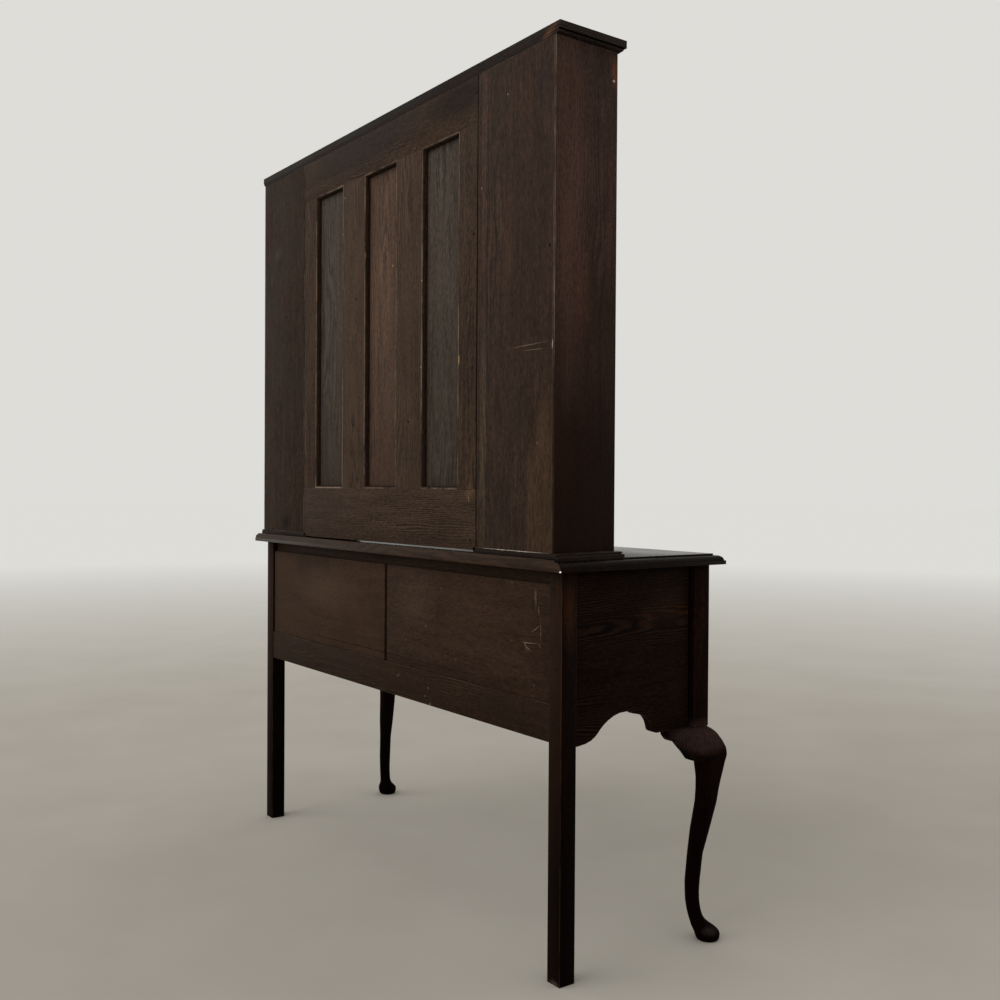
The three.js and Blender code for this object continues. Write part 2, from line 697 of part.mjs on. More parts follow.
const plate = geometryOf(handlePlate());
const bail = geometryOf(handleBail());
const handleY = backY - frontFace - fit - plateThick - pivotReach;
for (const [side, sign] of [['right', 1], ['left', -1]]) {
  for (const [place, x] of [['inner', handleXs[0]], ['outer', handleXs[1]]]) {
    add(`handle_plate_${side}_${place}`, plate, brass, sign * x, handleY, drawerMidZ);
    add(`handle_bail_${side}_${place}`, bail, brass, sign * x, handleY, drawerMidZ);
  }
}

// Rack: sides, partitions, shelves, frieze and the boards that close its back
const rackDepth = [rackBack, rackFront];
const upperShelfZ = [upperShelfMiddle - shelfThick / 2, upperShelfMiddle + shelfThick / 2];
const lowerShelfZ = [lowerShelfMiddle - shelfThick / 2, lowerShelfMiddle + shelfThick / 2];
const upperShelfDepth = [rackBackInner + fit, rackFront - upperShelfSetBack];
const lowerShelfDepth = [rackBackInner + fit, rackFront - lowerShelfSetBack];
const upperShelfX = eachWay(sideInner + housing);
const lowerShelfX = eachWay(partitionIn + housing);
const halving = (upperShelfDepth[0] + upperShelfDepth[1]) / 2;
const partitionX = [partitionIn, partitionOut];
const partitionDepth = [rackBackInner + fit, rackFront];
const partitionZ = [rackFloor, rackTopZ];
const friezeZ = [rackTopUnder - friezeHigh, rackTopZ];
const friezeDepth = [rackFront - friezeThick, rackFront];
const backBoardX = [partitionMiddle + fit, rackHalf - sideLip];
const backDepth = [rackBack, rackBackInner];
const openingZ = [bottomTop, upperShelfZ[0]];
const doorX = [partitionOut + doorGap, sideInner - doorGap];
const doorZ = [openingZ[0] + doorGap, openingZ[1] - doorGap];
const doorDepth = [rackFront - fit - doorThick, rackFront - fit];
const hingeAxis = { x: sideInner - doorGap / 2, depth: rackFront + barrelRadius + fit };
const hingeHeights = [doorZ[0] + hingeInset, doorZ[1] - hingeInset];
const leafX = [sideInner - fit / 2, sideInner - fit / 2 + leafThick];
const leafDepth = [rackFront - leafWide, hingeAxis.depth];
const leafZ = (middle) => [middle - barrelHigh / 2, middle + barrelHigh / 2];

let rackSide = board([sideInner, rackHalf], rackDepth, [bottomTop + fit, rackTopZ])
  .subtract(board([sideInner - overrun, backBoardX[1] + fit], [rackBack - overrun, rackBackInner + fit],
    [bottomTop - overrun, rackTopUnder + overrun]))
  .subtract(roomFor(upperShelfX, upperShelfDepth, upperShelfZ));
for (const middle of hingeHeights) {
  rackSide = rackSide.subtract(roomFor(leafX, leafDepth, leafZ(middle)));
}
addPair('rack_side', rackSide, brownOak);

addPair('rack_partition', board(partitionX, partitionDepth, partitionZ)
  .subtract(roomFor(upperShelfX, [halving, rackFront + overrun], upperShelfZ))
  .subtract(roomFor(lowerShelfX, lowerShelfDepth, lowerShelfZ))
  .subtract(roomFor([partitionIn - overrun, partitionOut + overrun], friezeDepth, friezeZ)), brownOak);

const shelfSlot = (x) => roomFor(x, [rackBackInner - overrun, halving], upperShelfZ);
add('rack_shelf_upper', board(upperShelfX, upperShelfDepth, upperShelfZ)
  .subtract(shelfSlot(partitionX))
  .subtract(shelfSlot(mirrorRange(partitionX))), brownOak);
add('rack_shelf_lower', board(lowerShelfX, lowerShelfDepth, lowerShelfZ), brownOak);

function frieze() {
  const half = sideInner - fit;
  const edge = both(smoothRuns(friezeShares, half, friezeRise)).map(
    (point) => point.add(new THREE.Vector2(0, friezeZ[0])));
  const outline = new THREE.Shape([
    new THREE.Vector2(-half, friezeZ[0]),
    ...edge,
    new THREE.Vector2(half, friezeZ[0]),
    new THREE.Vector2(half, friezeZ[1]),
    new THREE.Vector2(-half, friezeZ[1]),
  ]);
  return frontCut(outline, friezeDepth);
}
add('rack_frieze', frieze(), brownOak);

addPair('back_board', board(backBoardX, backDepth, [bottomTop + fit, rackTopZ]), brownOak);

const bottomProfile = [
  { inset: 0, rise: 0 },
  { inset: 0, rise: bottomNose },
  ...quarter(0, bottomNose, bottomRound, bottomThick - fit - bottomNose).slice(1),
];
addPair('cupboard_bottom', mouldedBoard([partitionIn, rackHalf + bottomOverSide],
  [rackBack, rackFront + bottomOverFront], rackFloor, bottomProfile, false)
  .subtract(board([partitionIn - overrun, partitionOut + fit], [rackBackInner - overrun, rackFront + fit],
    [tableTop - overrun, bottomTop + overrun]))
  .subtract(board([partitionIn - overrun, backBoardX[0]], [rackBack - overrun, rackBackInner + overrun],
    [tableTop - overrun, bottomTop + overrun])), brownOak);

// Rack top with its cornice: a straight fascia above a cove
const coveHigh = rackTopThick - fasciaHigh - corniceFillet;
const coveWide = corniceOverSide - coveStep;
const coveProfile = quarter(0, 0, coveWide, coveHigh).map(({ inset, rise }) => (
  { inset: corniceOverSide - inset, rise: corniceFillet + rise }));
const corniceProfile = [
  { inset: corniceOverSide, rise: 0 },
  ...coveProfile,
  { inset: 0, rise: corniceFillet + coveHigh },
  { inset: 0, rise: rackTopThick },
];
add('rack_top', mouldedBoard(eachWay(rackHalf + corniceOverSide), [rackBack, rackFront + corniceOverFront],
  rackTopUnder, corniceProfile, true), brownOak);

// Framed back of the middle bay: rails, stiles, muntins and three thin panels
const frameHalf = partitionMiddle - fit;
const frameZ = [backFrameBottom + backRailLow, rackTopUnder - backRailTop];
const panelDepth = [rackBack + panelRecess, rackBackInner];
const panelZ = [frameZ[0] - panelLap, frameZ[1] + panelLap];
const panelXs = [
  [-outerPanelOuter - panelLap, -outerPanelInner + panelLap],
  eachWay(middlePanelHalf + panelLap),
  [outerPanelInner - panelLap, outerPanelOuter + panelLap],
];
const uprightZ = [frameZ[0] + fit, frameZ[1] - fit];
const uprightTenonZ = [uprightZ[0] - tenon, uprightZ[1] + tenon];
const uprightTenonDepth = [rackBack + tenonShoulder, rackBack + panelRecess - fit];

const stileX = [outerPanelOuter, frameHalf];
const innerX = [middlePanelHalf, outerPanelInner];
const tenonXs = [stileX, innerX].map(shrunk);

function withPanelRoom(body) {
  return panelXs.reduce((rest, x) => rest.subtract(roomFor(x, panelDepth, panelZ)), body);
}

function withTenonRoom(body) {
  return [...tenonXs, ...tenonXs.map(mirrorRange)].reduce(
    (rest, x) => rest.subtract(roomFor(x, uprightTenonDepth, uprightTenonZ)), body);
}

add('rack_back_top_rail', withTenonRoom(withPanelRoom(
  board(eachWay(frameHalf), backDepth, [frameZ[1], rackTopZ]))), darkOak);
add('rack_back_bottom_rail', withTenonRoom(withPanelRoom(
  board(eachWay(frameHalf), backDepth, [backFrameBottom, frameZ[0]]))), darkOak);
const upright = (x) => withPanelRoom(board(x, backDepth, uprightZ)).add(
  board(shrunk(x), uprightTenonDepth, uprightTenonZ));
addPair('rack_back_stile', upright(stileX), darkOak);
addPair('rack_back_muntin', upright(innerX), darkOak);
const panelFinishes = [greyPanel, redPanel, greyPanel];
['left', 'middle', 'right'].forEach((place, i) => {
  add(`rack_back_panel_${place}`, board(panelXs[i], panelDepth, panelZ), panelFinishes[i]);
});

// Cupboard doors: a frame with an arched opening, and a fielded panel in its groove
function arch(grow) {
  const middle = (doorX[0] + doorX[1]) / 2;
  const half = (doorX[1] - doorX[0]) / 2 - stileWide + grow;
  const bottom = doorZ[0] + doorRailLow - grow;
  const rise = doorArchRise;
  const spring = doorZ[1] - doorRailTop - rise + grow;
  const crown = Array.from({ length: doorArchSteps + 1 }, (_, i) => {
    const turn = (i / doorArchSteps) * Math.PI;
    return new THREE.Vector2(middle + half * Math.cos(turn), spring + rise * Math.sin(turn));
  });
  return [new THREE.Vector2(middle - half, bottom), new THREE.Vector2(middle + half, bottom), ...crown];
}

const doorPanelBack = doorDepth[0] + (doorThick - doorPanelThick) / 2;
const doorPanelDepth = [doorPanelBack, doorPanelBack + doorPanelThick];
const knobX = doorX[0] + stileWide / 2;
const knobZ = (doorZ[0] + doorZ[1]) / 2;

function doorFrame() {
  const outer = new THREE.Shape([[doorX[0], doorZ[0]], [doorX[1], doorZ[0]],
    [doorX[1], doorZ[1]], [doorX[0], doorZ[1]]].map(([x, z]) => new THREE.Vector2(x, z)));
  outer.holes.push(new THREE.Path(arch(0)));
  const groove = frontCut(new THREE.Shape(arch(doorPanelTongue + fit)),
    [doorPanelDepth[0] - fit, doorPanelDepth[1] + fit]);
  const shankHole = rod(knobShank + fit, 2 * (knobShankLong + fit), roundSides, 'y');
  shankHole.translate(knobX, backY - doorDepth[1], knobZ);
  return frontCut(outer, doorDepth).subtract(groove).subtract(solid(shankHole));
}
addPair('door_frame', doorFrame(), brownOak);

function doorPanel() {
  const ring = (grow, depth) => arch(grow).map(({ x, y }) => new THREE.Vector3(x, backY - depth, y));
  const field = loft([
    ring(-fieldEdge, doorPanelDepth[1] - overrun),
    ring(-fieldEdge, doorPanelDepth[1]),
    ring(-fieldEdge - fieldSlope, doorPanelDepth[1] + fieldRise),
  ]);
  return frontCut(new THREE.Shape(arch(doorPanelTongue)), doorPanelDepth).add(field);
}
addPair('door_panel', doorPanel(), brownOak);

function knob() {
  const points = knobShares.map(([radius, along]) => (
    new THREE.Vector2(radius * knobRadius, along * knobLong)));
  const profile = [new THREE.Vector2(0, -knobShankLong), new THREE.Vector2(knobShank, -knobShankLong),
    new THREE.Vector2(knobShank, 0), ...points, new THREE.Vector2(0, knobLong)];
  const geometry = new THREE.LatheGeometry(profile, roundSides);
  geometry.rotateZ(Math.PI);
  geometry.translate(knobX, backY - doorDepth[1] - fit, knobZ);
  return solid(geometry);
}
addPair('door_knob', knob(), brass);

// Door hinges: a barrel in front of the joint and the leaf that is let into the rack side
function hinge(middle) {
  const barrel = rod(barrelRadius, barrelHigh, roundSides, 'z');
  barrel.translate(hingeAxis.x, backY - hingeAxis.depth, middle);
  return solid(barrel).add(board(leafX, leafDepth, leafZ(middle)));
}
addPair('door_hinge_lower', hinge(hingeHeights[0]), brass);
addPair('door_hinge_upper', hinge(hingeHeights[1]), brass);

export default dresser;
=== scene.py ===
# %% [markdown]
# This lesson dresses a welsh dresser in stained oak, seen from behind and from its left.
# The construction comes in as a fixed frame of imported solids, one for each piece of timber or brass.
# Each cell takes a few of those solids, makes the piece that a visitor would see, and gives it a finish.

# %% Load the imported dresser
import json
import math
import random

import bmesh
import bpy
from mathutils import Matrix, Vector

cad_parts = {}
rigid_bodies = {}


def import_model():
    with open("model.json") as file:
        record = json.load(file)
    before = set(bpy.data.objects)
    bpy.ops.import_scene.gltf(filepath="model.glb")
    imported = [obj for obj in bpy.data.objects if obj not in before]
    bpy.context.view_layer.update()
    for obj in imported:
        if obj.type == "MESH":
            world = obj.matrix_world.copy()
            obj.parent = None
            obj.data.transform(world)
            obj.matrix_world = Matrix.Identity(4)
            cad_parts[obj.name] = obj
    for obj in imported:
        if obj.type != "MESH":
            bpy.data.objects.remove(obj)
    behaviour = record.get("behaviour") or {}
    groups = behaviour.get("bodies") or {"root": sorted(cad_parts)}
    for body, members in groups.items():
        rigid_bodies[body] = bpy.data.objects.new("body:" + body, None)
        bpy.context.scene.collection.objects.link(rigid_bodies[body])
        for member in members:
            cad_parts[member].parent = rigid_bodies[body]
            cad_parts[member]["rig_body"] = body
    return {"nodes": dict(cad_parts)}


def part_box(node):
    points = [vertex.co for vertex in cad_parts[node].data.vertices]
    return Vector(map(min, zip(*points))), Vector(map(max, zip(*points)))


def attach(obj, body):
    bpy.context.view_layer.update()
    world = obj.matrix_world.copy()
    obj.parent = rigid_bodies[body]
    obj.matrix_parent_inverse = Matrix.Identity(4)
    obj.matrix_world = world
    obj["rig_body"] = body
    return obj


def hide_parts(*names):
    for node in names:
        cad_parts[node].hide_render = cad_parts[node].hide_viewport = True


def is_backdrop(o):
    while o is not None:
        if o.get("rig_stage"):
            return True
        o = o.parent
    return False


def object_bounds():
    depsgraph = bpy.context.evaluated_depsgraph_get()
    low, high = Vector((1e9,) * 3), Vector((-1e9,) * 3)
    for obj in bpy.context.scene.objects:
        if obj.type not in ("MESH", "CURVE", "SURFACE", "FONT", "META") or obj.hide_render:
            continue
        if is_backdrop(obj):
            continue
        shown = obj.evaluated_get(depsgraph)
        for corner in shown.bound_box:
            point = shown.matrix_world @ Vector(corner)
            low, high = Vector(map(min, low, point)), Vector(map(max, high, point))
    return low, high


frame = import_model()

mm = 0.001
scene = bpy.context.scene
nodes = frame["nodes"]
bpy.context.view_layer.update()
sides = ("left", "right")


def placed(name, data):
    """A new object in the scene: a mesh, a curve, a lamp or a lens."""
    holder = bpy.data.objects.new(name, data)
    scene.collection.objects.link(holder)
    return holder


def as_mesh(name, bm):
    """A new mesh from a bmesh, which is freed."""
    mesh = bpy.data.meshes.new(name)
    bm.to_mesh(mesh)
    bm.free()
    return mesh


print("solids in the frame:", len(nodes))

# %% [markdown]
# The camera stands behind the dresser, on its left, about as high as the rack's lower rail.
# Its place was fitted to the dresser's square corners, so the picture and the frame share one view.
# A camera looks straight down until it is turned: rolled about its own line of sight, tipped up to the
# level, and swung round the upright to its heading.

# %% Camera
camera_place = Vector((-2.2269, 1.4869, 0.9372))
camera_turns = (("Z", -126.06), ("X", 89.30), ("Z", 0.35))  # degrees: heading, tip and roll
picture_side = 1000  # pixels
focal_length = 1090.93  # pixels
sensor_side = 36  # millimetres

lens = bpy.data.cameras.new("view_from_behind")
lens.sensor_width = sensor_side
lens.lens = focal_length * sensor_side / picture_side
camera = placed("view_from_behind", lens)
view = Matrix.Translation(camera_place)
for axis, degrees in camera_turns:
    view = view @ Matrix.Rotation(math.radians(degrees), 4, axis)
camera.matrix_world = view
scene.camera = camera
print("lens in millimetres:", round(lens.lens, 2))

# %% [markdown]
# Materials are mixed from nodes, and each finish here needs the same few: noise, stretching, mixing.
# A small class keeps that readable: each method adds one node and hands back its output.
# It takes a material or a world, because both are mixed in the same way.
# Colours are written as they look on a screen, and turned into the linear values that light needs.

# %% A recipe for mixing finishes
def tint(red, green, blue):
    """A colour as it looks on a screen, 0 to 255, as the linear colour that a shader takes."""
    shares = [value / 255 for value in (red, green, blue)]
    linear = [s / 12.92 if s <= 0.04045 else ((s + 0.055) / 1.055) ** 2.4 for s in shares]
    return (*linear, 1)


class Recipe:
    """The nodes of one finish or sky. A shader takes constants on its own sockets."""

    def __init__(self, owner):
        owner.use_nodes = True
        self.owner = owner
        self.nodes = owner.node_tree.nodes

    def node(self, kind, output=0, inputs=(), **settings):
        made = self.nodes.new(kind)
        for key, value in settings.items():
            setattr(made, key, value)
        for socket, value in dict(inputs).items():
            self.feed(made.inputs[socket], value)
        return made.outputs[output]

    def feed(self, socket, value):
        if isinstance(value, bpy.types.NodeSocket):
            self.owner.node_tree.links.new(value, socket)
        else:
            socket.default_value = value

    def on_piece(self, name, output="Fac"):
        return self.node("ShaderNodeAttribute", output, attribute_name=name)

    def place(self):
        return self.node("ShaderNodeTexCoord", "Object")

    def place_along(self, axis):
        return self.node("ShaderNodeSeparateXYZ", axis, inputs={"Vector": self.place()})

    def length(self, vector):
        return self.node("ShaderNodeVectorMath", "Value", inputs={0: vector}, operation="LENGTH")

    def stretched(self, vector, scale, location=(0, 0, 0)):
        return self.node("ShaderNodeMapping", inputs={
            "Vector": vector, "Scale": scale, "Location": location})

    def wandered(self, vector, reach, scale, detail=3):
        """The same place pushed about by a noise, by up to reach each way."""
        push = self.node("ShaderNodeTexNoise", "Color", inputs={
            "Vector": vector, "Scale": scale, "Detail": detail})
        centred = self.stretched(push, (2 * reach,) * 3, (-reach,) * 3)
        return self.node("ShaderNodeVectorMath", inputs={0: vector, 1: centred}, operation="ADD")

    def noise(self, scale, vector=None, detail=3, roughness=0.55, distortion=0):
        return self.node("ShaderNodeTexNoise", "Fac", inputs={
            "Vector": vector or self.place(), "Scale": scale, "Detail": detail,
            "Roughness": roughness, "Distortion": distortion})

    def ranged(self, value, low, high, to_low=0, to_high=1):
        return self.node("ShaderNodeMapRange", inputs={
            "Value": value, "From Min": low, "From Max": high, "To Min": to_low, "To Max": to_high})

    def combined(self, operation, *values):
        return self.node("ShaderNodeMath", inputs=dict(enumerate(values)), operation=operation)

    def mixed(self, share, one, other):
        return self.node("ShaderNodeMix", 2, inputs={0: share, 6: one, 7: other}, data_type="RGBA")

    def coated(self, colour, *coats):
        """A colour under coats of others, first to last, each with its share."""
        for share, coat in coats:
            colour = self.mixed(share, colour, coat)
        return colour

    def finished(self, colour, roughness, bump_height=None, bump_depth=0, sheen=0.5, metallic=0):
        shader = self.nodes["Principled BSDF"]
        for socket, value in (("Base Color", colour), ("Roughness", roughness),
                              ("Specular IOR Level", sheen), ("Metallic", metallic)):
            self.feed(shader.inputs[socket], value)
        if bump_height is not None:
            bump = self.node("ShaderNodeBump", inputs={
                "Height": bump_height, "Distance": bump_depth, "Strength": 1.0})
            self.feed(shader.inputs["Normal"], bump)
        return self.owner


def new_finish(name):
    return Recipe(bpy.data.materials.new(name))


print("oak brown as a linear colour:", [round(c, 4) for c in tint(58, 47, 38)])

# %% [markdown]
# The room is plain: one large pale floor, one soft lamp like a big window, and an even light all round.
# Lamp and sky together give a surface that faces them about the colour it is written with.
# The sky shows its own pale colour to the camera and to reflections, through Light Path, not by more light.

# %% Floor and soft light
floor_half = 60.0
floor_tones = (tint(158, 153, 145), tint(162, 157, 149))
floor_mottle = 2.5
floor_rough = 0.9
floor_sheen = 0.02
sky_tone = tint(222, 221, 217)
far_tone = tint(212, 212, 211)  # the floor is lit by lamp and sky, and so comes out as pale as the sky
fade_near = 2.4
fade_far = 11.0
sky_strength = 1.25
lamp_strength = 1.0
lamp_spread = math.radians(50)
lamp_from = Vector((0.15, 0.80, 0.62))


def pale_floor():
    bm = bmesh.new()
    bmesh.ops.create_grid(bm, x_segments=1, y_segments=1, size=floor_half)
    floor = placed("floor", as_mesh("floor", bm))
    recipe = new_finish("pale_floor")
    mottle = recipe.ranged(recipe.noise(floor_mottle), 0.35, 0.65)
    fade = recipe.ranged(recipe.length(recipe.place()), fade_near, fade_far)
    plain, pale = floor_tones
    colour = recipe.coated(plain, (mottle, pale), (fade, far_tone))
    floor.data.materials.append(recipe.finished(colour, floor_rough, sheen=floor_sheen))
    floor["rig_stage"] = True


def even_sky():
    world = bpy.data.worlds.new("pale_room")
    scene.world = world
    recipe = Recipe(world)
    light = recipe.nodes["Background"]
    recipe.feed(light.inputs["Color"], sky_tone)
    recipe.feed(light.inputs["Strength"], sky_strength)
    shown = recipe.node("ShaderNodeBackground", inputs={"Color": sky_tone})
    ray = recipe.nodes.new("ShaderNodeLightPath")
    seen = ray.outputs["Is Camera Ray"]
    for kind in ("Is Glossy Ray", "Is Transmission Ray"):
        seen = recipe.combined("MAXIMUM", seen, ray.outputs[kind])
    either = recipe.node("ShaderNodeMixShader", inputs={0: seen, 1: light.outputs[0], 2: shown})
    recipe.feed(recipe.nodes["World Output"].inputs["Surface"], either)


def soft_lamp():
    lamp = bpy.data.lights.new("window", "SUN")
    lamp.energy = lamp_strength
    lamp.angle = lamp_spread
    holder = placed("window", lamp)
    holder.rotation_mode = "QUATERNION"
    holder.rotation_quaternion = lamp_from.to_track_quat("Z", "Y")


pale_floor()
even_sky()
soft_lamp()
scene.view_settings.view_transform = "Standard"
print("light on a wall that faces the lamp:",
      round(sky_strength + lamp_strength * lamp_from.normalized().y / math.pi, 2))

# %% [markdown]
# Oak shows growth rings, broad streaks, fine fibres and short dark pores, all drawn out along the grain.
# Each board carries an attribute named grain: its own place in the log that it was sawn from.
# The rings are then circles round the log's heart, and a board near the heart shows arched figure.
# Attributes named edge and tone hold the worn corners, and how dark one board is beside the next.

# %% Oak
along_grain = 0.11  # how fast streaks and fibres change along the grain, beside across it
along_rings = 0.16  # the same for the rings
along_flecks = 0.4
ring_scale = 70.0
wave_rate = 20  # radians in one unit of the wave texture
ring_share = 0.1
ring_patch = 11.0  # rings show in patches of this fineness
bend_reach = 34 * mm  # how far the rings wander from true circles
bend_scale = 9.0
streak_scale = 55.0
fleck_scale = 230.0
fibre_scale = 400.0
pore_scale = 1000.0
layer_shares = (0.28, 0.46, 0.26)  # of streaks, flecks and fibres
pore_dark = 0.4
tone_steps = (0.38, 0.50, 0.63)  # how light the wood is where its dark, plain and light tones are full
flush_scale = 14.0
flush_band = (0.48, 0.66)
cloud_scale = 6.0
cloud_gloss = 0.6
grime_band = (0.52, 0.32)
rub_scale = 7.0
rub_band = (0.42, 0.60)
raw_skin = (0.6 * mm, 0.2 * mm)  # a raw rear face starts and is full this near to the surface
raw_contrast = 0.75
raw_band = (0.36, 0.60)
darkening_ragged = 0.25
stain_grain = (0.75, 1.2)  # how far the grain shows through a stain
stain_band = (0.40, 0.60)
gloss_band = (0.35, 0.65)
bare_oak = 0.05  # how much light an unpolished surface throws back


def inside_marks(recipe, places, ragged, soft):
    """1 inside any of the places, each a centre, three radii and a turn about Y, and 0 outside."""
    wandering = recipe.wandered(recipe.place(), ragged, 0.35 / ragged)
    nearest = 10.0
    for centre, radii, turn in places:
        nearby = recipe.node("ShaderNodeMapping", inputs={
            "Vector": wandering, "Location": centre, "Rotation": (0, turn, 0), "Scale": radii},
            vector_type="TEXTURE")
        nearest = recipe.combined("MINIMUM", nearest, recipe.length(nearby))
    return recipe.ranged(nearest, 1.0, 1.0 - soft)


def wood_depth(recipe, grain, figure):
    """How light the wood is at a place, about 0.5, from its rings, streaks, flecks and fibres."""
    ringed, drawn, flecked = (recipe.stretched(grain, (1, 1, along))
                              for along in (along_rings, along_grain, along_flecks))
    bent = recipe.wandered(ringed, bend_reach, bend_scale, detail=2)
    rings = recipe.node("ShaderNodeTexWave", "Fac", inputs={
        "Vector": bent, "Scale": ring_scale, "Distortion": 5.0, "Detail": 3.0, "Detail Scale": 1.2,
        "Detail Roughness": 0.7}, wave_type="RINGS", rings_direction="Z")
    shown = recipe.ranged(recipe.noise(ring_patch, ringed), 0.4, 0.62)
    figured = recipe.combined("MULTIPLY", recipe.combined("SUBTRACT", rings, 0.5), shown)
    depth = recipe.combined("MULTIPLY_ADD", figured, figure, 0.5 * ring_share)
    fibres = recipe.noise(fibre_scale, drawn, roughness=0.7)
    layers = (recipe.noise(streak_scale, drawn, detail=5, roughness=0.6),
              recipe.noise(fleck_scale, flecked, roughness=0.65), fibres)
    for share, layer in zip(layer_shares, layers):
        depth = recipe.combined("MULTIPLY_ADD", layer, (1 - ring_share) * share, depth)
    pores = recipe.ranged(recipe.noise(pore_scale, drawn, detail=1), 0.60, 0.72)
    relief = recipe.combined("SUBTRACT", recipe.combined("MULTIPLY_ADD", rings, 0.1, fibres), pores)
    return depth, pores, relief


def oak(name, tones, worn, roughness, sheen=bare_oak, flush=None, flush_share=0.5, grime=0.35, figure=0.35,
        marks=(), bump_depth=0.25 * mm, raw_rear=None, darkened=None):
    """Stained oak. tones are its dark, plain and light colours, and flush a second colour in broad streaks.
    marks are places, each group with its tone, edge and strength. raw_rear is a rear face left bare, and
    its tone. darkened is a tone, the heights where it starts and is full, going down, and its strength."""
    recipe = new_finish(name)
    dark, plain, light = (tint(*tone) for tone in tones)
    at_dark, at_plain, at_light = tone_steps
    grain = recipe.on_piece("grain", "Vector")
    depth, pores, relief = wood_depth(recipe, grain, figure)
    depth = recipe.combined("ADD", depth, recipe.on_piece("tone"))
    coats = [(recipe.ranged(depth, at_dark, at_plain), plain),
             (recipe.ranged(depth, at_plain, at_light), light)]
    if flush:
        ringed = recipe.stretched(grain, (1, 1, along_rings))
        band = recipe.noise(flush_scale, ringed, detail=5, roughness=0.6)
        warm = recipe.mixed(recipe.ranged(depth, at_dark, 0.60), dark, tint(*flush))
        coats.append((recipe.ranged(band, *flush_band, 0, flush_share), warm))
    cloud = recipe.noise(cloud_scale, detail=6, roughness=0.62, distortion=0.5)
    coats += [(recipe.ranged(cloud, *grime_band, 0, grime), dark),
              (recipe.combined("MULTIPLY", pores, pore_dark), dark)]
    if raw_rear:
        rear, raw_tone = raw_rear
        raw_dark = tint(*(value * raw_contrast for value in raw_tone))
        raw = recipe.mixed(recipe.ranged(depth, *raw_band), raw_dark, tint(*raw_tone))
        at_rear = recipe.ranged(recipe.place_along("Y"), *(rear - near for near in raw_skin))
        coats.append((at_rear, raw))
    if darkened:
        low_tone, starts, full, strength = darkened
        ragged = recipe.combined("MULTIPLY_ADD", cloud, darkening_ragged, recipe.place_along("Z"))
        share = recipe.ranged(ragged, starts + darkening_ragged / 2, full + darkening_ragged / 2, 0, strength)
        coats.append((share, tint(*low_tone)))
    rubbed = recipe.noise(rub_scale, detail=6, roughness=0.7)
    rubbed = recipe.combined("MULTIPLY", recipe.ranged(rubbed, *rub_band, 0.1, 1.0), recipe.on_piece("edge"))
    coats.append((rubbed, tint(*worn)))
    for places, tone, edge, strength in marks:
        share = recipe.combined("MULTIPLY", inside_marks(recipe, places, *edge), strength)
        stain_tones = (tint(*(value * times for value in tone)) for times in stain_grain)
        coats.append((share, recipe.mixed(recipe.ranged(depth, *stain_band), *stain_tones)))
    gloss = recipe.combined("MULTIPLY", depth, 1 - cloud_gloss)
    gloss = recipe.combined("MULTIPLY_ADD", cloud, cloud_gloss, gloss)
    gloss = recipe.ranged(gloss, *gloss_band, *roughness)
    return recipe.finished(recipe.coated(dark, *coats), gloss, relief, bump_depth, sheen)


print("a growth ring is about", round(2 * math.pi / wave_rate / ring_scale / mm, 1), "mm wide")

# %% [markdown]
# The dresser was stained in parts: the base is almost black, the rack's boards are a purple brown,
# the framed back is plainer and greyer, and its three thin panels were cut from different boards.
# A few small marks are set where they show: pale chips, rubs, scratches and an old stain.

# %% Marks of wear and painted shadow lines
rack_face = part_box("back_board_left")[1].y
panel_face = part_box("rack_back_panel_middle")[1].y
base_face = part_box("back_panel_left")[1].y
rail_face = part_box("back_bottom_rail")[1].y
panel_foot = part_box("back_bottom_rail")[1].z + 1 * mm
mark_deep = 4 * mm  # scratches and chips reach this far into the wood
stain_deep = 40 * mm  # broad stains are measured this far, so that their ragged edge leaves no hole
chip_tone = (168, 150, 128)
scratch_tone = (112, 98, 82)
scuff_tone = (136, 118, 98)
rub_tone = (136, 98, 74)
gap_shadow_tone = (10, 7, 5)
# shadow_tone paints shadow: thin dark lines along the gap at the frame's far edge and beside the near board's
# strip
shadow_tone = (20, 14, 11)
# Edges of marks: how far the edge wanders, and how much of the mark is soft
fine = (1.2 * mm, 0.5)
ruled = (0.6 * mm, 0.4)
crisp = (2 * mm, 0.3)
dust_and_highlight = (4 * mm, 0.7)
faded = (4 * mm, 0.8)
broad = (9 * mm, 0.75)
cloudy = (12 * mm, 0.9)


def flecks(places, size, strength, tone=chip_tone, y=rack_face):
    """Small chips on a face at y, each with its place across and up."""
    return [((x, y, z), (size, mark_deep, size * 1.5), 0) for x, z in places], tone, fine, strength


def scratches(lines, tone, strength, thick=0.9 * mm, edge=fine, y=rack_face):
    """Thin marks on a face at y, each between two places (x, z, x, z)."""
    return [(((x0 + x1) / 2, y, (z0 + z1) / 2),
             (math.hypot(x1 - x0, z1 - z0) / 2, mark_deep, thick), -math.atan2(z1 - z0, x1 - x0))
            for x0, z0, x1, z1 in lines], tone, edge, strength


def patch(across, up, wide, high, tone, edge, strength, lean=0, y=rack_face, x=None, deep=stain_deep):
    """A mark with a half width and a half height, on a face at y or, where x is given, on a side face."""
    centre, radii = (across, y, up), (wide, deep, high)
    if x is not None:
        centre, radii = (x, across, up), (deep, wide, high)
    return [(centre, radii, lean)], tone, edge, strength
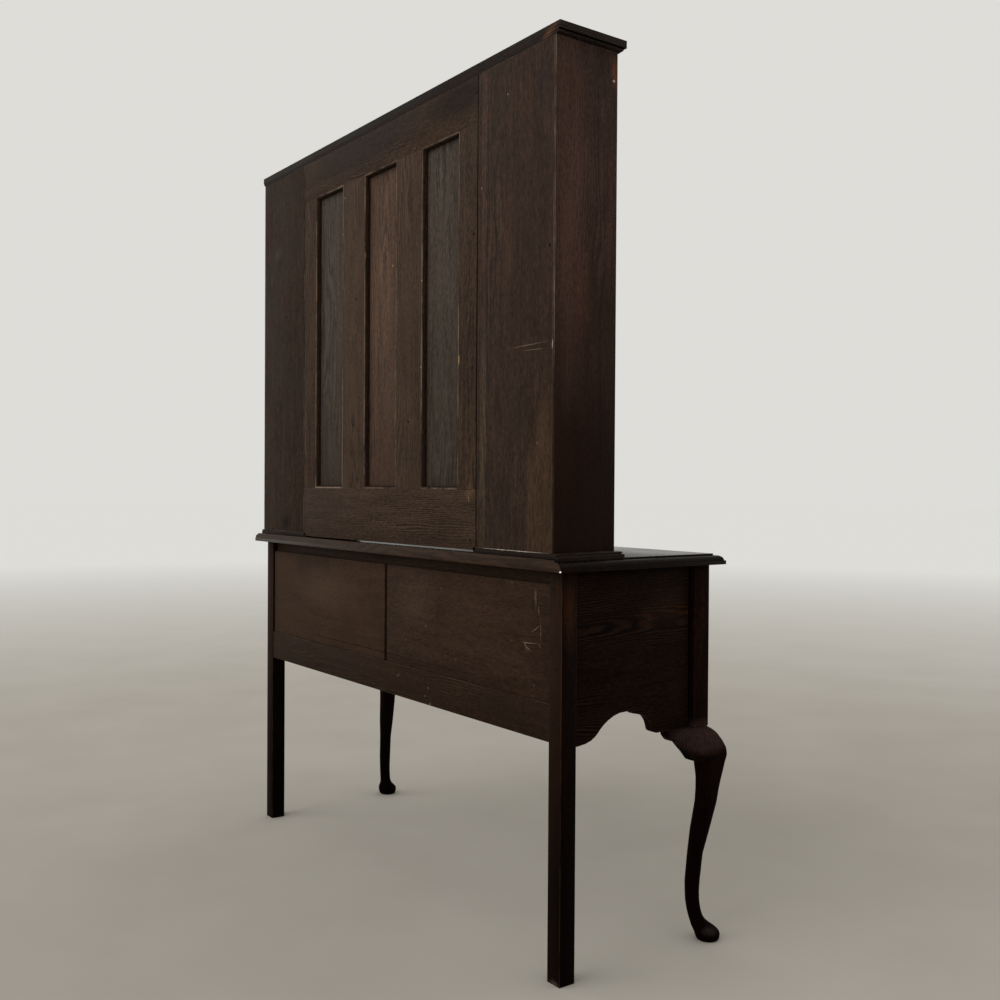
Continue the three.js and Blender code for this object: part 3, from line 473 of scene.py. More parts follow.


# Painted shadow: a dark line down the gap between the frame and the near back board
near_gap_shadow = scratches(((-0.3965, 0.50, -0.3965, 2.10),), gap_shadow_tone, 0.95, 3 * mm, ruled)
board_marks_and_shadow_lines = (
    scratches(((-0.500, 1.207, -0.641, 1.210), (-0.546, 1.199, -0.628, 1.197)), scratch_tone, 0.7),
    scratches(((-0.643, 1.214, -0.642, 1.192), (-0.6455, 0.874, -0.6465, 0.846)), chip_tone, 0.8, 1.6 * mm),
    flecks(((-0.498, 1.706), (-0.411, 1.541), (-0.598, 1.020)), 1.5 * mm, 0.7),
    patch(-0.420, 0.98, 0.013, 0.34, (72, 60, 46), crisp, 0.5),
    patch(-0.420, 1.60, 0.011, 0.30, (74, 54, 44), crisp, 0.4),
    scratches(((-0.4325, 0.70, -0.4325, 1.90),), shadow_tone, 0.8, 1.2 * mm),
    near_gap_shadow,
    patch(-0.500, 1.47, 0.030, 0.20, (66, 44, 35), broad, 0.35),
    patch(-0.650, 0.850, 0.093, 0.290, (72, 53, 38), (3 * mm, 0.15), 0.5),
    patch(-0.485, 0.900, 0.030, 0.060, (40, 27, 23), broad, 0.4),
    patch(-0.610, 1.700, 0.040, 0.080, (42, 32, 29), broad, 0.5),
    patch(0.505, 0.838, 0.036, 0.028, (22, 17, 15), broad, 0.75),
    patch(0.556, 1.571, 0.030, 0.022, (72, 61, 53), broad, 0.6, 0.4),
)
frame_marks_and_shadow_lines = (
    flecks(((-0.112, 1.722), (-0.151, 1.685), (-0.1808, 1.199), (0.1748, 1.644)), 1.5 * mm, 0.8),
    patch(-0.3312, 1.202, 1.6 * mm, 12 * mm, (214, 160, 92), fine, 1.0, deep=mark_deep),
    patch(-0.3700, 0.912, 1.4 * mm, 7 * mm, (150, 118, 84), fine, 0.9, deep=mark_deep),
    patch(-0.372, 0.925, 0.020, 0.025, (84, 64, 46), broad, 0.6),
    patch(0.080, 1.745, 0.360, 0.065, (44, 36, 32), (10 * mm, 0.6), 0.85),
    patch(-0.330, 1.745, 0.150, 0.055, (36, 28, 25), (10 * mm, 0.7), 0.9),
    near_gap_shadow,
    scratches(((0.3965, 0.50, 0.3965, 2.10),), shadow_tone, 0.5, 2 * mm),
)
red_marks = (
    flecks(((-0.037, 1.446),), 1.8 * mm, 0.8, y=panel_face),
    patch(0.020, 1.380, 0.070, 0.170, (98, 76, 62), broad, 0.5),
)
moulding_marks = (
    patch(0.3290, 1.435, 3 * mm, 0.035, rub_tone, fine, 0.8, deep=mark_deep),
    patch(0.0727, 1.486, 2 * mm, 10 * mm, rub_tone, fine, 0.8, deep=mark_deep),
    flecks(((0.1844, 1.557), (0.1850, 1.492), (-0.1827, 1.389)), 1.6 * mm, 0.8),
)
scuffs = ((-0.573, 0.747, -0.574, 0.697), (-0.582, 0.712, -0.583, 0.690), (-0.559, 0.656, -0.587, 0.671),
          (-0.527, 0.633, -0.581, 0.636), (-0.581, 0.640, -0.590, 0.626), (-0.569, 0.741, -0.571, 0.712),
          (-0.588, 0.690, -0.590, 0.628), (-0.541, 0.628, -0.560, 0.618), (-0.535, 0.640, -0.548, 0.615))
nicks = ((-0.497, 0.632), (-0.238, 0.716), (-0.178, 0.627), (-0.093, 0.588), (-0.080, 0.566),
         (-0.408, 0.693), (-0.437, 0.584), (-0.381, 0.545), (-0.569, 0.553), (-0.563, 0.533),
         (-0.298, 0.570), (-0.496, 0.7485), (-0.351, 0.530))
panel_marks = (
    scratches(scuffs, scuff_tone, 0.6, y=base_face),
    scratches(((-0.64, panel_foot, 0.64, panel_foot),), (18, 11, 7), 0.8, 1.2 * mm, y=base_face),
    flecks(nicks, 1.4 * mm, 0.8, scratch_tone, base_face),
    ([((-0.600, base_face, 0.60), (0.060, stain_deep, 0.16), 0),
      ((-0.330, base_face, 0.535), (0.40, stain_deep, 0.035), 0)], (36, 24, 17), cloudy, 0.6),
    ([((-0.130, base_face, 0.680), (0.100, stain_deep, 0.07), 0),
      ((0.300, base_face, 0.670), (0.200, stain_deep, 0.07), 0)], (68, 53, 41), cloudy, 0.45),
)
rail_marks = (
    flecks(((-0.1925, 0.492), (-0.180, 0.472), (-0.201, 0.458)), 1.8 * mm, 0.6, y=rail_face),
    scratches(((-0.072, 0.507, -0.055, 0.496),), scratch_tone, 0.7, y=rail_face),
    patch(-0.500, 0.49, 0.180, 0.06, (34, 22, 15), broad, 0.6, y=rail_face),
)
print("marks on the near back panel:", sum(len(places) for places, *_ in panel_marks))

# %% [markdown]
# Each wood finish below gives its dark, plain and light tones, how rough it is, and what is special to it.
# Wood that nobody sees was never polished, so it throws back little light. The table top was waxed.

# %% Finishes of the woods
slab_low, slab_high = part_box("table_top")
leg_low, leg_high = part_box("back_leg_left")
cornice_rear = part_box("rack_top")[1].y
side_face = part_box("rack_side_left")[0].x
base_side_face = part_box("side_panel_left")[0].x
knee_height = 0.425


def both_legs(x, y, z, *radii):
    return [((side * x, y, z), radii, 0) for side in (-1, 1)]


top_marks = (
    ([((slab_low.x, slab_high.y, slab_low.z + 1.5 * mm), (3.5 * mm, 3 * mm, 2.5 * mm), 0)],
     (236, 232, 224), fine, 1.0),
)
cornice_marks = (
    patch(-0.628, 1.785, 0.030, 0.010, (92, 58, 36), faded, 0.65, 0.3, cornice_rear),
    scratches(((-0.645, 0.8127, -0.395, 0.8127),), (186, 176, 160), 0.9, 0.7 * mm, (1.5 * mm, 0.5),
              cornice_rear),
)
side_marks = (
    ([((side_face, 0.080, 1.48), (stain_deep, 0.014, 0.20), 0),
      ((side_face, 0.150, 1.30), (stain_deep, 0.030, 0.12), 0)], (74, 42, 30), broad, 0.18),
    patch(0.180, 1.45, 0.060, 0.40, (78, 56, 49), broad, 0.4, x=side_face),
    patch(0.105, 1.73, 0.035, 0.06, (34, 25, 21), broad, 0.5, x=side_face),
    patch(0.140, 0.92, 0.110, 0.24, (29, 16, 9), (14 * mm, 0.95), 0.6, x=side_face),
    patch(rack_face, 0.95, 2 * mm, 0.26, (40, 28, 23), (1 * mm, 0.3), 0.8, x=side_face, deep=2 * mm),
    patch(0.070, 1.735, 0.012, 0.035, (92, 54, 34), faded, 0.6, x=side_face),
    flecks(((side_face, 1.719),), 2 * mm, 0.8, y=0.072),
)
base_marks_and_shadow = (
    patch(-0.075, 0.69, 0.085, 0.045, (54, 28, 13), cloudy, 0.35, x=base_side_face),
    patch(0.180, 0.70, 0.020, 0.10, (58, 31, 16), broad, 0.4, x=leg_low.x),
    patch(-0.640, 0.002, 0.020, 0.009, (66, 58, 52), dust_and_highlight, 0.7, y=leg_high.y, deep=mark_deep),
    # Painted shadow: a dark band on the side panel just under the table top's overhang
    patch(0, slab_low.z, 0.30, 0.016, (4, 2, 1), (2 * mm, 0.9), 0.75, x=base_side_face),
)
knee_dust_shade_and_highlights = (
    # Dust with a painted highlight on the top of each knee
    (both_legs(leg_low.x, -0.165, knee_height, 0.08, 0.09, 0.040), (52, 38, 34), (6 * mm, 0.4), 0.6),
    # Painted shade under each knee block
    (both_legs(0.635, -0.140, 0.393, 0.033, 0.050, 0.027), (4, 2, 1), crisp, 0.95),
    # A painted highlight on each toe
    (both_legs(0.678, -0.182, 0.024, 0.018, 0.024, 0.013), (44, 38, 35), dust_and_highlight, 0.5),
)
base_low = ((4, 1, 0), 0.66, 0.18, 0.85)
# For each wood its slot, its dark, plain and light tones, its worn tone, its roughness, and the rest
woods = {
    "rack": (
        "brown_oak", ((37, 24, 20), (52, 37, 31), (65, 50, 42)), (132, 120, 110), (0.45, 0.62),
        dict(sheen=0.035, flush=(60, 40, 32), flush_share=0.7, figure=0.15, marks=side_marks,
             darkened=((20, 8, 3), 1.52, 0.92, 0.85))),
    "cornice": (
        "brown_oak", ((20, 13, 10), (32, 24, 19), (45, 34, 27)), (86, 77, 68), (0.42, 0.62),
        dict(marks=cornice_marks)),
    "back_board": (
        "brown_oak", ((35, 25, 19), (52, 39, 31), (68, 52, 43)), (111, 100, 91), (0.55, 0.75),
        dict(flush=(67, 46, 37), figure=0.12, marks=board_marks_and_shadow_lines)),
    "frame": (
        "frame_oak", ((38, 28, 20), (57, 43, 34), (73, 58, 47)), (84, 68, 54), (0.6, 0.8),
        dict(flush=(72, 54, 42), figure=0.22, marks=frame_marks_and_shadow_lines)),
    # The moulding is the frame's oak in darker tones: painted shade in the openings' reveals, on top of the
    # shade the reveals cast
    "moulding": (
        "frame_oak", ((24, 15, 11), (40, 28, 21), (54, 40, 31)), (118, 99, 86), (0.6, 0.8),
        dict(figure=0.2, marks=moulding_marks)),
    "grey_panel": (
        "grey_panel", ((46, 39, 33), (64, 56, 49), (80, 70, 63)), (104, 91, 78), (0.6, 0.8),
        dict(grime=0.25, figure=0.15, darkened=((40, 33, 27), 1.35, 0.88, 0.4))),
    "red_panel": (
        "red_panel", ((50, 38, 31), (73, 56, 46), (89, 70, 58)), (107, 94, 80), (0.6, 0.8),
        dict(flush=(90, 69, 57), flush_share=0.7, grime=0.25, figure=0.15, marks=red_marks,
             darkened=((40, 28, 21), 1.15, 0.86, 0.4))),
    "base": (
        "black_oak", ((9, 4, 2), (20, 10, 6), (33, 19, 12)), (60, 42, 30), (0.36, 0.55),
        dict(sheen=0.02, flush=(40, 19, 10), figure=0.5, marks=base_marks_and_shadow)),
    "back_leg": (
        "black_oak", ((6, 2, 1), (14, 6, 3), (26, 14, 8)), (54, 38, 28), (0.36, 0.55),
        dict(sheen=0.02, flush=(30, 15, 8), figure=0.3, marks=base_marks_and_shadow, raw_rear=(leg_high.y, (42, 26, 17)),
             darkened=base_low)),
    "polished_base": (
        "black_oak", ((10, 4, 2), (23, 12, 7), (38, 22, 14)), (70, 50, 38), (0.28, 0.45),
        dict(sheen=0.04, flush=(44, 22, 12))),
    "front_leg": (
        "black_oak", ((9, 3, 2), (20, 9, 5), (33, 17, 10)), (34, 20, 14), (0.5, 0.65),
        dict(sheen=0.012, flush=(34, 15, 9), figure=0.25, marks=knee_dust_shade_and_highlights, darkened=base_low)),
    "base_back": (
        "back_panel_oak", ((32, 21, 14), (48, 33, 24), (60, 44, 33)), (66, 51, 40), (0.6, 0.8),
        dict(flush=(56, 40, 28), flush_share=0.7, grime=0.5, figure=0.08, marks=panel_marks)),
    "base_rail": (
        "black_oak", ((27, 17, 10), (42, 28, 18), (54, 39, 26)), (70, 56, 44), (0.55, 0.75),
        dict(figure=0.2, marks=rail_marks)),
    "table_top": (
        "black_oak", ((6, 3, 2), (13, 6, 4), (26, 16, 11)), (62, 48, 38), (0.15, 0.30),
        dict(flush=(30, 17, 11), flush_share=0.7, bump_depth=0.1 * mm, marks=top_marks,
             raw_rear=(slab_high.y, (55, 41, 31)))),
    "lining": (
        "drawer_lining", ((92, 68, 46), (134, 104, 74), (160, 130, 96)), (176, 148, 112), (0.6, 0.8),
        dict(sheen=0.25, figure=0.06)),
}
finishes = {name: (oak(name + "_oak", tones, worn, roughness, **rest), slot)
            for name, (slot, tones, worn, roughness, rest) in woods.items()}
print("wood finishes:", ", ".join(finishes))

# %% [markdown]
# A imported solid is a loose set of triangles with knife-sharp corners.
# A copy is merged, its flat faces are made whole, and its outward corners are rounded by a bevel.
# The bevel's own faces are marked as the edge that hands and years have rubbed.

# %% Helpers for boards
merge_distance = 0.01 * mm
flat_angle = math.radians(1)
crease_angle = math.radians(28)
corner_angle = math.radians(35)
shortest_corner = 4 * mm
heart_aside = 0.06
heart_near = 0.03
heart_far = 0.16
log_length = 8.0
tone_range = 0.02
# Boards that are lighter or darker than the rest of their wood
own_tones = {"rack_back_muntin_right": 0.08, "rack_back_muntin_left": 0.05, "rack_back_stile_right": 0.02,
             "rack_back_stile_left": -0.01, "back_panel_right": 0.09, "rack_back_panel_right": 0.03,
             "back_board_right": -0.04}
grain_order = {"X": (1, 2, 0), "Y": (2, 0, 1), "Z": (0, 1, 2)}


def merged_copy(node):
    bm = bmesh.new()
    bm.from_mesh(nodes[node].data)
    bmesh.ops.remove_doubles(bm, verts=bm.verts, dist=merge_distance)
    bmesh.ops.dissolve_limit(bm, angle_limit=flat_angle, verts=bm.verts, edges=bm.edges)
    return bm


def round_corners(bm, radius, wanted=lambda edge: True):
    """Rounds the outward corners of a form, and marks the faces that this adds as worn."""
    worn = bm.faces.layers.float.get("edge") or bm.faces.layers.float.new("edge")
    corners = [edge for edge in bm.edges
               if edge.is_manifold and edge.is_convex and edge.calc_face_angle() > corner_angle
               and edge.calc_length() > shortest_corner and wanted(edge)]
    rounded = bmesh.ops.bevel(bm, geom=corners, offset=radius, offset_type="OFFSET", affect="EDGES",
                              segments=2, profile=0.5, material=-1, clamp_overlap=False)
    for face in rounded["faces"]:
        face[worn] = 1


def lay_grain(bm, name, axis, tone):
    """Gives each corner its place in the log, with the grain along an axis, and the board its tone."""
    chance = random.Random(name)
    heart = Vector((chance.uniform(-heart_aside, heart_aside), chance.uniform(heart_near, heart_far),
                    chance.uniform(0, log_length)))
    shade = chance.uniform(-tone_range, tone_range) if tone is None else tone
    corners = [vert.co for vert in bm.verts]
    middle = Vector([(min(c[i] for c in corners) + max(c[i] for c in corners)) / 2 for i in range(3)])
    grain = bm.verts.layers.float_vector.new("grain")
    tones = bm.verts.layers.float.new("tone")
    for vert in bm.verts:
        local = vert.co - middle
        vert[grain] = Vector([local[i] for i in grain_order[axis]]) + heart
        vert[tones] = shade


def make_piece(name, bm, finish, body, stands_for=(), axis="Z", tone=None):
    """Turns a bmesh into a named piece with its grain, its finish and the body that it moves with."""
    lay_grain(bm, name, axis, tone)
    for face in bm.faces:
        face.smooth = True
    for edge in bm.edges:
        edge.smooth = edge.is_manifold and edge.calc_face_angle() < crease_angle
    piece = placed(name, as_mesh(name, bm))
    material, slot = finishes[finish]
    piece.data.materials.append(material)
    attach(piece, body)
    if stands_for:
        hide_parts(*stands_for)
    print(name, "has", len(piece.data.polygons), "faces in", finish)


def body_of(node):
    return nodes[node]["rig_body"]


def middle_of(node):
    low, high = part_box(node)
    return (low + high) / 2


def height_of(node):
    low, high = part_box(node)
    return high.z - low.z


def steps_to(angle, count):
    """Even steps from nought to an angle."""
    return [angle * i / count for i in range(count + 1)]


def board_from(node, finish, axis, radius, trim=None):
    bm = merged_copy(node)
    if trim:
        trim(bm)
    round_corners(bm, radius)
    make_piece(node + "_wood", bm, finish, body_of(node), [node], axis, own_tones.get(node))


def pair(stem):
    return [f"{stem}_{side}" for side in sides]


def dress(rows, trim=None):
    """Dresses the solids of each row: their names, finish, direction of grain and corner radius."""
    for names, finish, axis, radius in rows:
        for node in names:
            board_from(node, finish, axis, radius, trim)


print("corners under", round(math.degrees(corner_angle)), "degrees stay as they are")

# %% [markdown]
# The rack is plain joinery: sides, partitions, shelves and boards that close its back.
# They are copies of the solids with rounded corners, and only the direction of the grain differs.

# %% Boards of the rack
dress((
    (pair("rack_side"), "rack", "Z", 0.6 * mm),
    (pair("rack_partition"), "rack", "Z", 0.8 * mm),
    (["rack_shelf_upper", "rack_shelf_lower"], "rack", "X", 1.2 * mm),
    (["rack_frieze"], "rack", "X", 0.8 * mm),
    (pair("back_board"), "back_board", "Z", 0.7 * mm),
))

# %% [markdown]
# Behind the open middle, a frame of rails, stiles and muntins holds three thin panels.
# The frame's edges round each opening carry a small moulding, mitred at the corners.
# It is made as a ring for each opening: four-cornered loops along the section, bridged one to the next.

# %% Framed back
frame_radius = 0.6 * mm
rail_low, rail_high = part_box("rack_back_top_rail")
frame_half = rail_high.x
shadow_gap = 2.2 * mm  # the frame has shrunk away from the boards beside it
gap_near = 4.6 * mm  # the frame stands a little askew above the table top
gap_far = 3.2 * mm


def shrink_frame(bm):
    """Draws the frame's outer edges in, and brings its lower edge down to the table top."""
    for vert in bm.verts:
        if abs(vert.co.x) > frame_half - merge_distance:
            vert.co.x -= math.copysign(shadow_gap, vert.co.x)
        if vert.co.z < slab_high.z + 2 * gap_near:
            across_frame = (vert.co.x + frame_half) / (2 * frame_half)
            vert.co.z = slab_high.z + gap_near + (gap_far - gap_near) * across_frame


dress((
    (["rack_back_top_rail", "rack_back_bottom_rail"], "frame", "X", frame_radius),
    (pair("rack_back_stile") + pair("rack_back_muntin"), "frame", "Z", frame_radius),
    (pair("rack_back_panel"), "grey_panel", "Z", frame_radius),
    (["rack_back_panel_middle"], "red_panel", "Z", frame_radius),
), shrink_frame)
print("gap beside the frame:", round(shadow_gap / mm, 1), "mm")

moulding_wide = 6.5 * mm
moulding_flat = 2.4 * mm
moulding_steps = 6
moulding_drop = 0.8  # how much of the frame's step the moulding takes up
moulding_quirk = 0.5 * mm  # the small step between its flat and its round
moulding_foot = 0.3 * mm
rub_from = 0.72  # faces that look straight out get rubbed most, and steep ones not at all


def mitred_ring(name, low, high, section, facing, finish, body, axis="Z"):
    """A closed moulding round the rectangle from low to high, seen from +Y or -Y as facing says.
    Section points are (inward, y)."""
    bm = bmesh.new()
    loops = []
    for inward, y in section:
        places = ((low.x + inward, low.z + inward), (high.x - inward, low.z + inward),
                  (high.x - inward, high.z - inward), (low.x + inward, high.z - inward))
        corners = [bm.verts.new((x, y, z)) for x, z in places]
        loops.append([bm.edges.new((corners[i], corners[(i + 1) % 4])) for i in range(4)])
    for one, other in zip(loops, loops[1:] + loops[:1]):
        bmesh.ops.bridge_loops(bm, edges=one + other)
    bmesh.ops.recalc_face_normals(bm, faces=bm.faces)
    worn = bm.faces.layers.float.new("edge")
    for face in bm.faces:
        face[worn] = max(0, (face.normal.y * facing - rub_from) / (1 - rub_from)) ** 2
    make_piece(name, bm, finish, body, (), axis)


opening_low_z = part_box("rack_back_bottom_rail")[1].z
frame_step = rail_high.y - panel_face
section = [(0, rail_high.y), (moulding_flat, rail_high.y)]
section += [(moulding_flat + (moulding_wide - moulding_flat) * math.sin(turn),
             rail_high.y - frame_step * moulding_drop * (1 - math.cos(turn)) - moulding_quirk)
            for turn in steps_to(math.pi / 2, moulding_steps)]
section += [(moulding_wide, panel_face + moulding_foot)]
posts = ("stile_left", "muntin_left", "muntin_right", "stile_right")
for place, near_post, far_post in zip(("left", "middle", "right"), posts, posts[1:]):
    low = Vector((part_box(f"rack_back_{near_post}")[1].x, 0, opening_low_z))
    high = Vector((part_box(f"rack_back_{far_post}")[0].x, 0, rail_low.z))
    mitred_ring(f"panel_moulding_{place}", low, high, section, 1, "moulding", "root")

# %% [markdown]
# The table top and the rack top are slabs with a moulding run along the front and both ends.
# The cupboards' bottom boards are smaller slabs, moulded along the front and at their outer end.
# One rectangle is extruded upwards in steps, and each step is drawn in as the profile says.
# The back edge stays square, because it stands against a wall.

# %% Moulded tops
nose_high = 8 * mm
nose_step = 3 * mm
ovolo_wide = 12 * mm
ovolo_high = 10.5 * mm
top_step = 4 * mm
cornice_over = 11 * mm
cornice_step = 1.5 * mm
cornice_round = 5.5 * mm
cornice_groove = 1.6 * mm
plinth_nose = 4 * mm  # the moulding round a cupboard's bottom board
plinth_round = 2.2 * mm
plinth_groove = 1.4 * mm
plinth_fillet = 1.2 * mm
curve_steps = 14


def quarter_round(inset, rise, wide, high):
    """Points of a quarter of an ellipse from (inset, rise), going in and up."""
    return [(inset + wide * (1 - math.cos(turn)), rise + high * math.sin(turn))
            for turn in steps_to(math.pi / 2, curve_steps)]


def moulded_slab(node, profile, finish, radius, moulded_low=True, moulded_high=True):
    """A slab with a moulded front. Its ends at low and high x are moulded too where the last two say so."""
    low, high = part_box(node)
    middle = middle_of(node)
    bm = bmesh.new()
    bmesh.ops.create_grid(bm, x_segments=1, y_segments=1, size=1,
                          matrix=Matrix.Translation((middle.x, middle.y, low.z)))
    bm.faces.ensure_lookup_table()
    bottom = bm.faces[0]
    bottom.normal_flip()
    top = bottom
    ring = list(bottom.verts)
    for step, (inset, rise) in enumerate(profile):
        if step:
            grown = bmesh.ops.extrude_face_region(bm, geom=[top])["geom"]
            ring = [part for part in grown if isinstance(part, bmesh.types.BMVert)]
            top = next(part for part in grown if isinstance(part, bmesh.types.BMFace))
        for vert in ring:
            if vert.co.x < middle.x:
                vert.co.x = low.x + inset * moulded_low
            else:
                vert.co.x = high.x - inset * moulded_high
            vert.co.y = low.y + inset if vert.co.y < middle.y else high.y
            vert.co.z = low.z + rise
    bmesh.ops.recalc_face_normals(bm, faces=bm.faces)
    round_corners(bm, radius, wanted=lambda edge: edge.calc_length() > 3 * radius)
    make_piece(node + "_wood", bm, finish, "root", [node], "X", 0.0)


top_inset = nose_step + ovolo_wide + top_step
top_profile = [(0, 0), (0, nose_high), *quarter_round(nose_step, nose_high, ovolo_wide, ovolo_high),
               (top_inset, nose_high + ovolo_high), (top_inset, height_of("table_top"))]
moulded_slab("table_top", top_profile, "table_top", 0.5 * mm)

round_rise = cornice_step + cornice_round
round_inset = cornice_over - cornice_round
under_round = [(cornice_over - cornice_step - cornice_round * math.sin(turn),
                cornice_step + cornice_round * (1 - math.cos(turn)))
               for turn in steps_to(math.pi / 2, curve_steps)]
cornice_profile = [(cornice_over, 0), (cornice_over - cornice_step, 0), *under_round,
                   (round_inset, round_rise), (round_inset, round_rise + cornice_groove),
                   (0, round_rise + cornice_groove), (0, height_of("rack_top"))]
moulded_slab("rack_top", cornice_profile, "cornice", 0.5 * mm)

groove_rise = plinth_nose + plinth_round
groove_inset = 2 * plinth_round
plinth_profile = [(0, 0), *quarter_round(0, plinth_nose, plinth_round, plinth_round),
                  (groove_inset, groove_rise), (groove_inset, groove_rise + plinth_groove),
                  (groove_inset - plinth_fillet, groove_rise + plinth_groove),
                  (groove_inset - plinth_fillet, height_of("cupboard_bottom_left"))]
for side, node in zip(sides, pair("cupboard_bottom")):
    moulded_slab(node, plinth_profile, "cornice", 0.3 * mm, side == "left", side == "right")

# %% [markdown]
# The base is a joined carcase: square legs behind, panels between the legs, rails above and below.
# Its thin back panels are a separate, paler wood. The boards keep their solids' shapes.

# %% Base
dress((
    (pair("back_leg"), "back_leg", "Z", 1.0 * mm),
    (pair("side_panel"), "base", "Y", 0.8 * mm),
    (["back_top_rail", "back_bottom_rail"], "base_rail", "X", 0.8 * mm),
    (["back_muntin"], "base_rail", "Z", 0.5 * mm),
    (pair("back_panel"), "base_back", "X", 0.6 * mm),
    (["front_top_rail", "front_apron"], "polished_base", "X", 0.8 * mm),
    (["drawer_divider"], "polished_base", "Z", 0.6 * mm),
    (pair("drawer_runner"), "lining", "Y", 0.6 * mm),
))

# %% [markdown]
# A front leg is one timber: a square post above, and below it a cabriole with a bold knee and a pad foot.
# The solid gives the form in flat facets. Its lower part is cut off, skinned again by a fine voxel
# remesh and smoothed, as a carver's scraper would, while the post above keeps its crisp corners.

# %% Front legs
knee_line = 444.5 * mm
skin_size = 1.8 * mm
scraper_passes = 9


def half_of(node, keep_lower):
    """The part of a leg below or above its knee line, closed again."""
    bm = merged_copy(node)
    cut = bmesh.ops.bisect_plane(bm, geom=bm.verts[:] + bm.edges[:] + bm.faces[:],
                                 plane_co=(0, 0, knee_line), plane_no=(0, 0, 1),
                                 clear_outer=keep_lower, clear_inner=not keep_lower)
    rim = [part for part in cut["geom_cut"] if isinstance(part, bmesh.types.BMEdge)]
    bmesh.ops.holes_fill(bm, edges=rim, sides=0)
    return bm


def made_mesh(holder):
    """The mesh that an object gives with its modifiers or curve settings. The object itself goes."""
    mesh = bpy.data.meshes.new_from_object(holder.evaluated_get(bpy.context.evaluated_depsgraph_get()))
    bpy.data.objects.remove(holder)
    return mesh


def add_mesh(bm, mesh):
    """Adds a mesh to a bmesh and removes it."""
    bm.from_mesh(mesh)
    bpy.data.meshes.remove(mesh)
    return bm


def joined(bm, other):
    """Adds another bmesh to this one."""
    return add_mesh(bm, as_mesh("carrier", other))


def skinned(bm):
    """The same closed form with an even fine skin, made by the Remesh modifier."""
    rough = as_mesh("rough_leg", bm)
    holder = placed("rough_leg", rough)
    remesh = holder.modifiers.new("skin", "REMESH")
    remesh.mode = "VOXEL"
    remesh.voxel_size = skin_size
    smooth = add_mesh(bmesh.new(), made_mesh(holder))
    bpy.data.meshes.remove(rough)
    return smooth


def front_leg(node):
    carved = skinned(half_of(node, True))
    for _ in range(scraper_passes):
        bmesh.ops.smooth_vert(carved, verts=[vert for vert in carved.verts if vert.co.z > skin_size],
                              factor=0.5, use_axis_x=True, use_axis_y=True, use_axis_z=True)
    for vert in carved.verts:
        vert.co.z = max(vert.co.z, 0)
    post = half_of(node, False)
    round_corners(post, 1.0 * mm)
    make_piece(node + "_wood", joined(carved, post), "front_leg", "root", [node], "Z", 0.0)


for node in pair("front_leg"):
    front_leg(node)

# %% [markdown]
# Each drawer has an oak front with a thin bead round it, and a box of pale wood behind.
# The bead stands a little proud of the front and hides the gap round the drawer.

# %% Drawers
bead_wide = 3 * mm
bead_proud = 1.4 * mm
bead_sunk = 0.5 * mm
bead_steps = 6
for side in sides:
    node = f"drawer_front_{side}"
    dress((([node], "polished_base", "X", 0.4 * mm), ([f"drawer_box_{side}"], "lining", "Y", 0.8 * mm)))
    low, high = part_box(node)
    bead = [(0, low.y + bead_sunk)]
    bead += [(bead_wide / 2 * (1 - math.cos(turn)), low.y - bead_proud * math.sin(turn))
             for turn in steps_to(math.pi, bead_steps)]
    bead += [(bead_wide, low.y + bead_sunk)]
    mitred_ring(f"drawer_bead_{side}", low, high, bead, -1, "polished_base", body_of(node), "X")

# %% [markdown]
# The cupboard doors have an arched opening and a panel raised towards its middle.
# Both are copies of the solids, and the smooth shading joins the short steps of the arch.

# %% Cupboard doors
for side in sides:
    dress((([f"door_frame_{side}"], "rack", "Z", 0.8 * mm), ([f"door_panel_{side}"], "rack", "Z", 0.3 * mm)))

# %% [markdown]
# Old brass is a yellow metal that has browned in its hollows and stays bright where hands rub it.
# Pointiness isn't carried by an export, so the browning follows noise and the edge attribute.

# %% Brass
bright_brass = tint(178, 142, 78)
brown_brass = tint(98, 70, 38)
rubbed_brass = tint(214, 180, 112)
brass_rub = 0.6
spot_scale = 160.0
haze_scale = 30.0


def old_brass():
    recipe = new_finish("old_brass")
    spotted = recipe.noise(spot_scale, detail=5, roughness=0.65)
    haze = recipe.noise(haze_scale)
    dull = recipe.combined("MULTIPLY", recipe.combined("ADD", spotted, haze), 0.5)
    rubbed = recipe.combined("MULTIPLY", recipe.on_piece("edge"), brass_rub)
    colour = recipe.coated(bright_brass, (recipe.ranged(dull, 0.40, 0.60), brown_brass),
                           (rubbed, rubbed_brass))
    gloss = recipe.ranged(spotted, 0.35, 0.65, 0.28, 0.5)
    return recipe.finished(colour, gloss, spotted, 0.05 * mm, metallic=1.0)


finishes["brass"] = (old_brass(), "brass")
print("brass finish:", finishes["brass"][0].name)

# %% [markdown]
# A handle is a thin pierced plate, two turned posts with a ball on each, and a bail hung between them.
# The plate's outline is a closed curve with automatic handles, filled and given a rounded edge.
# The posts are a profile spun round the handle's depth, and the bail is a curve with a swelling wire.

# %% Handles
plate_half = 51.5 * mm
plate_high = 34 * mm
plate_thick = 2 * mm
plate_rim = 0.6 * mm
post_spread = 36 * mm
pivot_reach = 9 * mm
plate_gap = 0.3 * mm
bail_drop = 27 * mm
bail_wire = 2.2 * mm
bail_swell = 0.2  # how much thinner the wire is at the posts than in the middle
bail_shoulder = 27.5 * mm
plate_shares = ((0, -0.9), (0.16, -1), (0.3, -0.72), (0.52, -0.6), (0.66, -0.86), (0.84, -0.62),
                (0.88, -0.2), (1, 0), (0.88, 0.22), (0.86, 0.6), (0.68, 0.84), (0.5, 0.58),
                (0.3, 0.74), (0.14, 1), (0, 0.88))
bail_shares = ((0.93, 0.09), (0.9, 0.3), (0.97, 0.55), (0.93, 0.8), (0.72, 0.97), (0.4, 1), (0, 0.93))
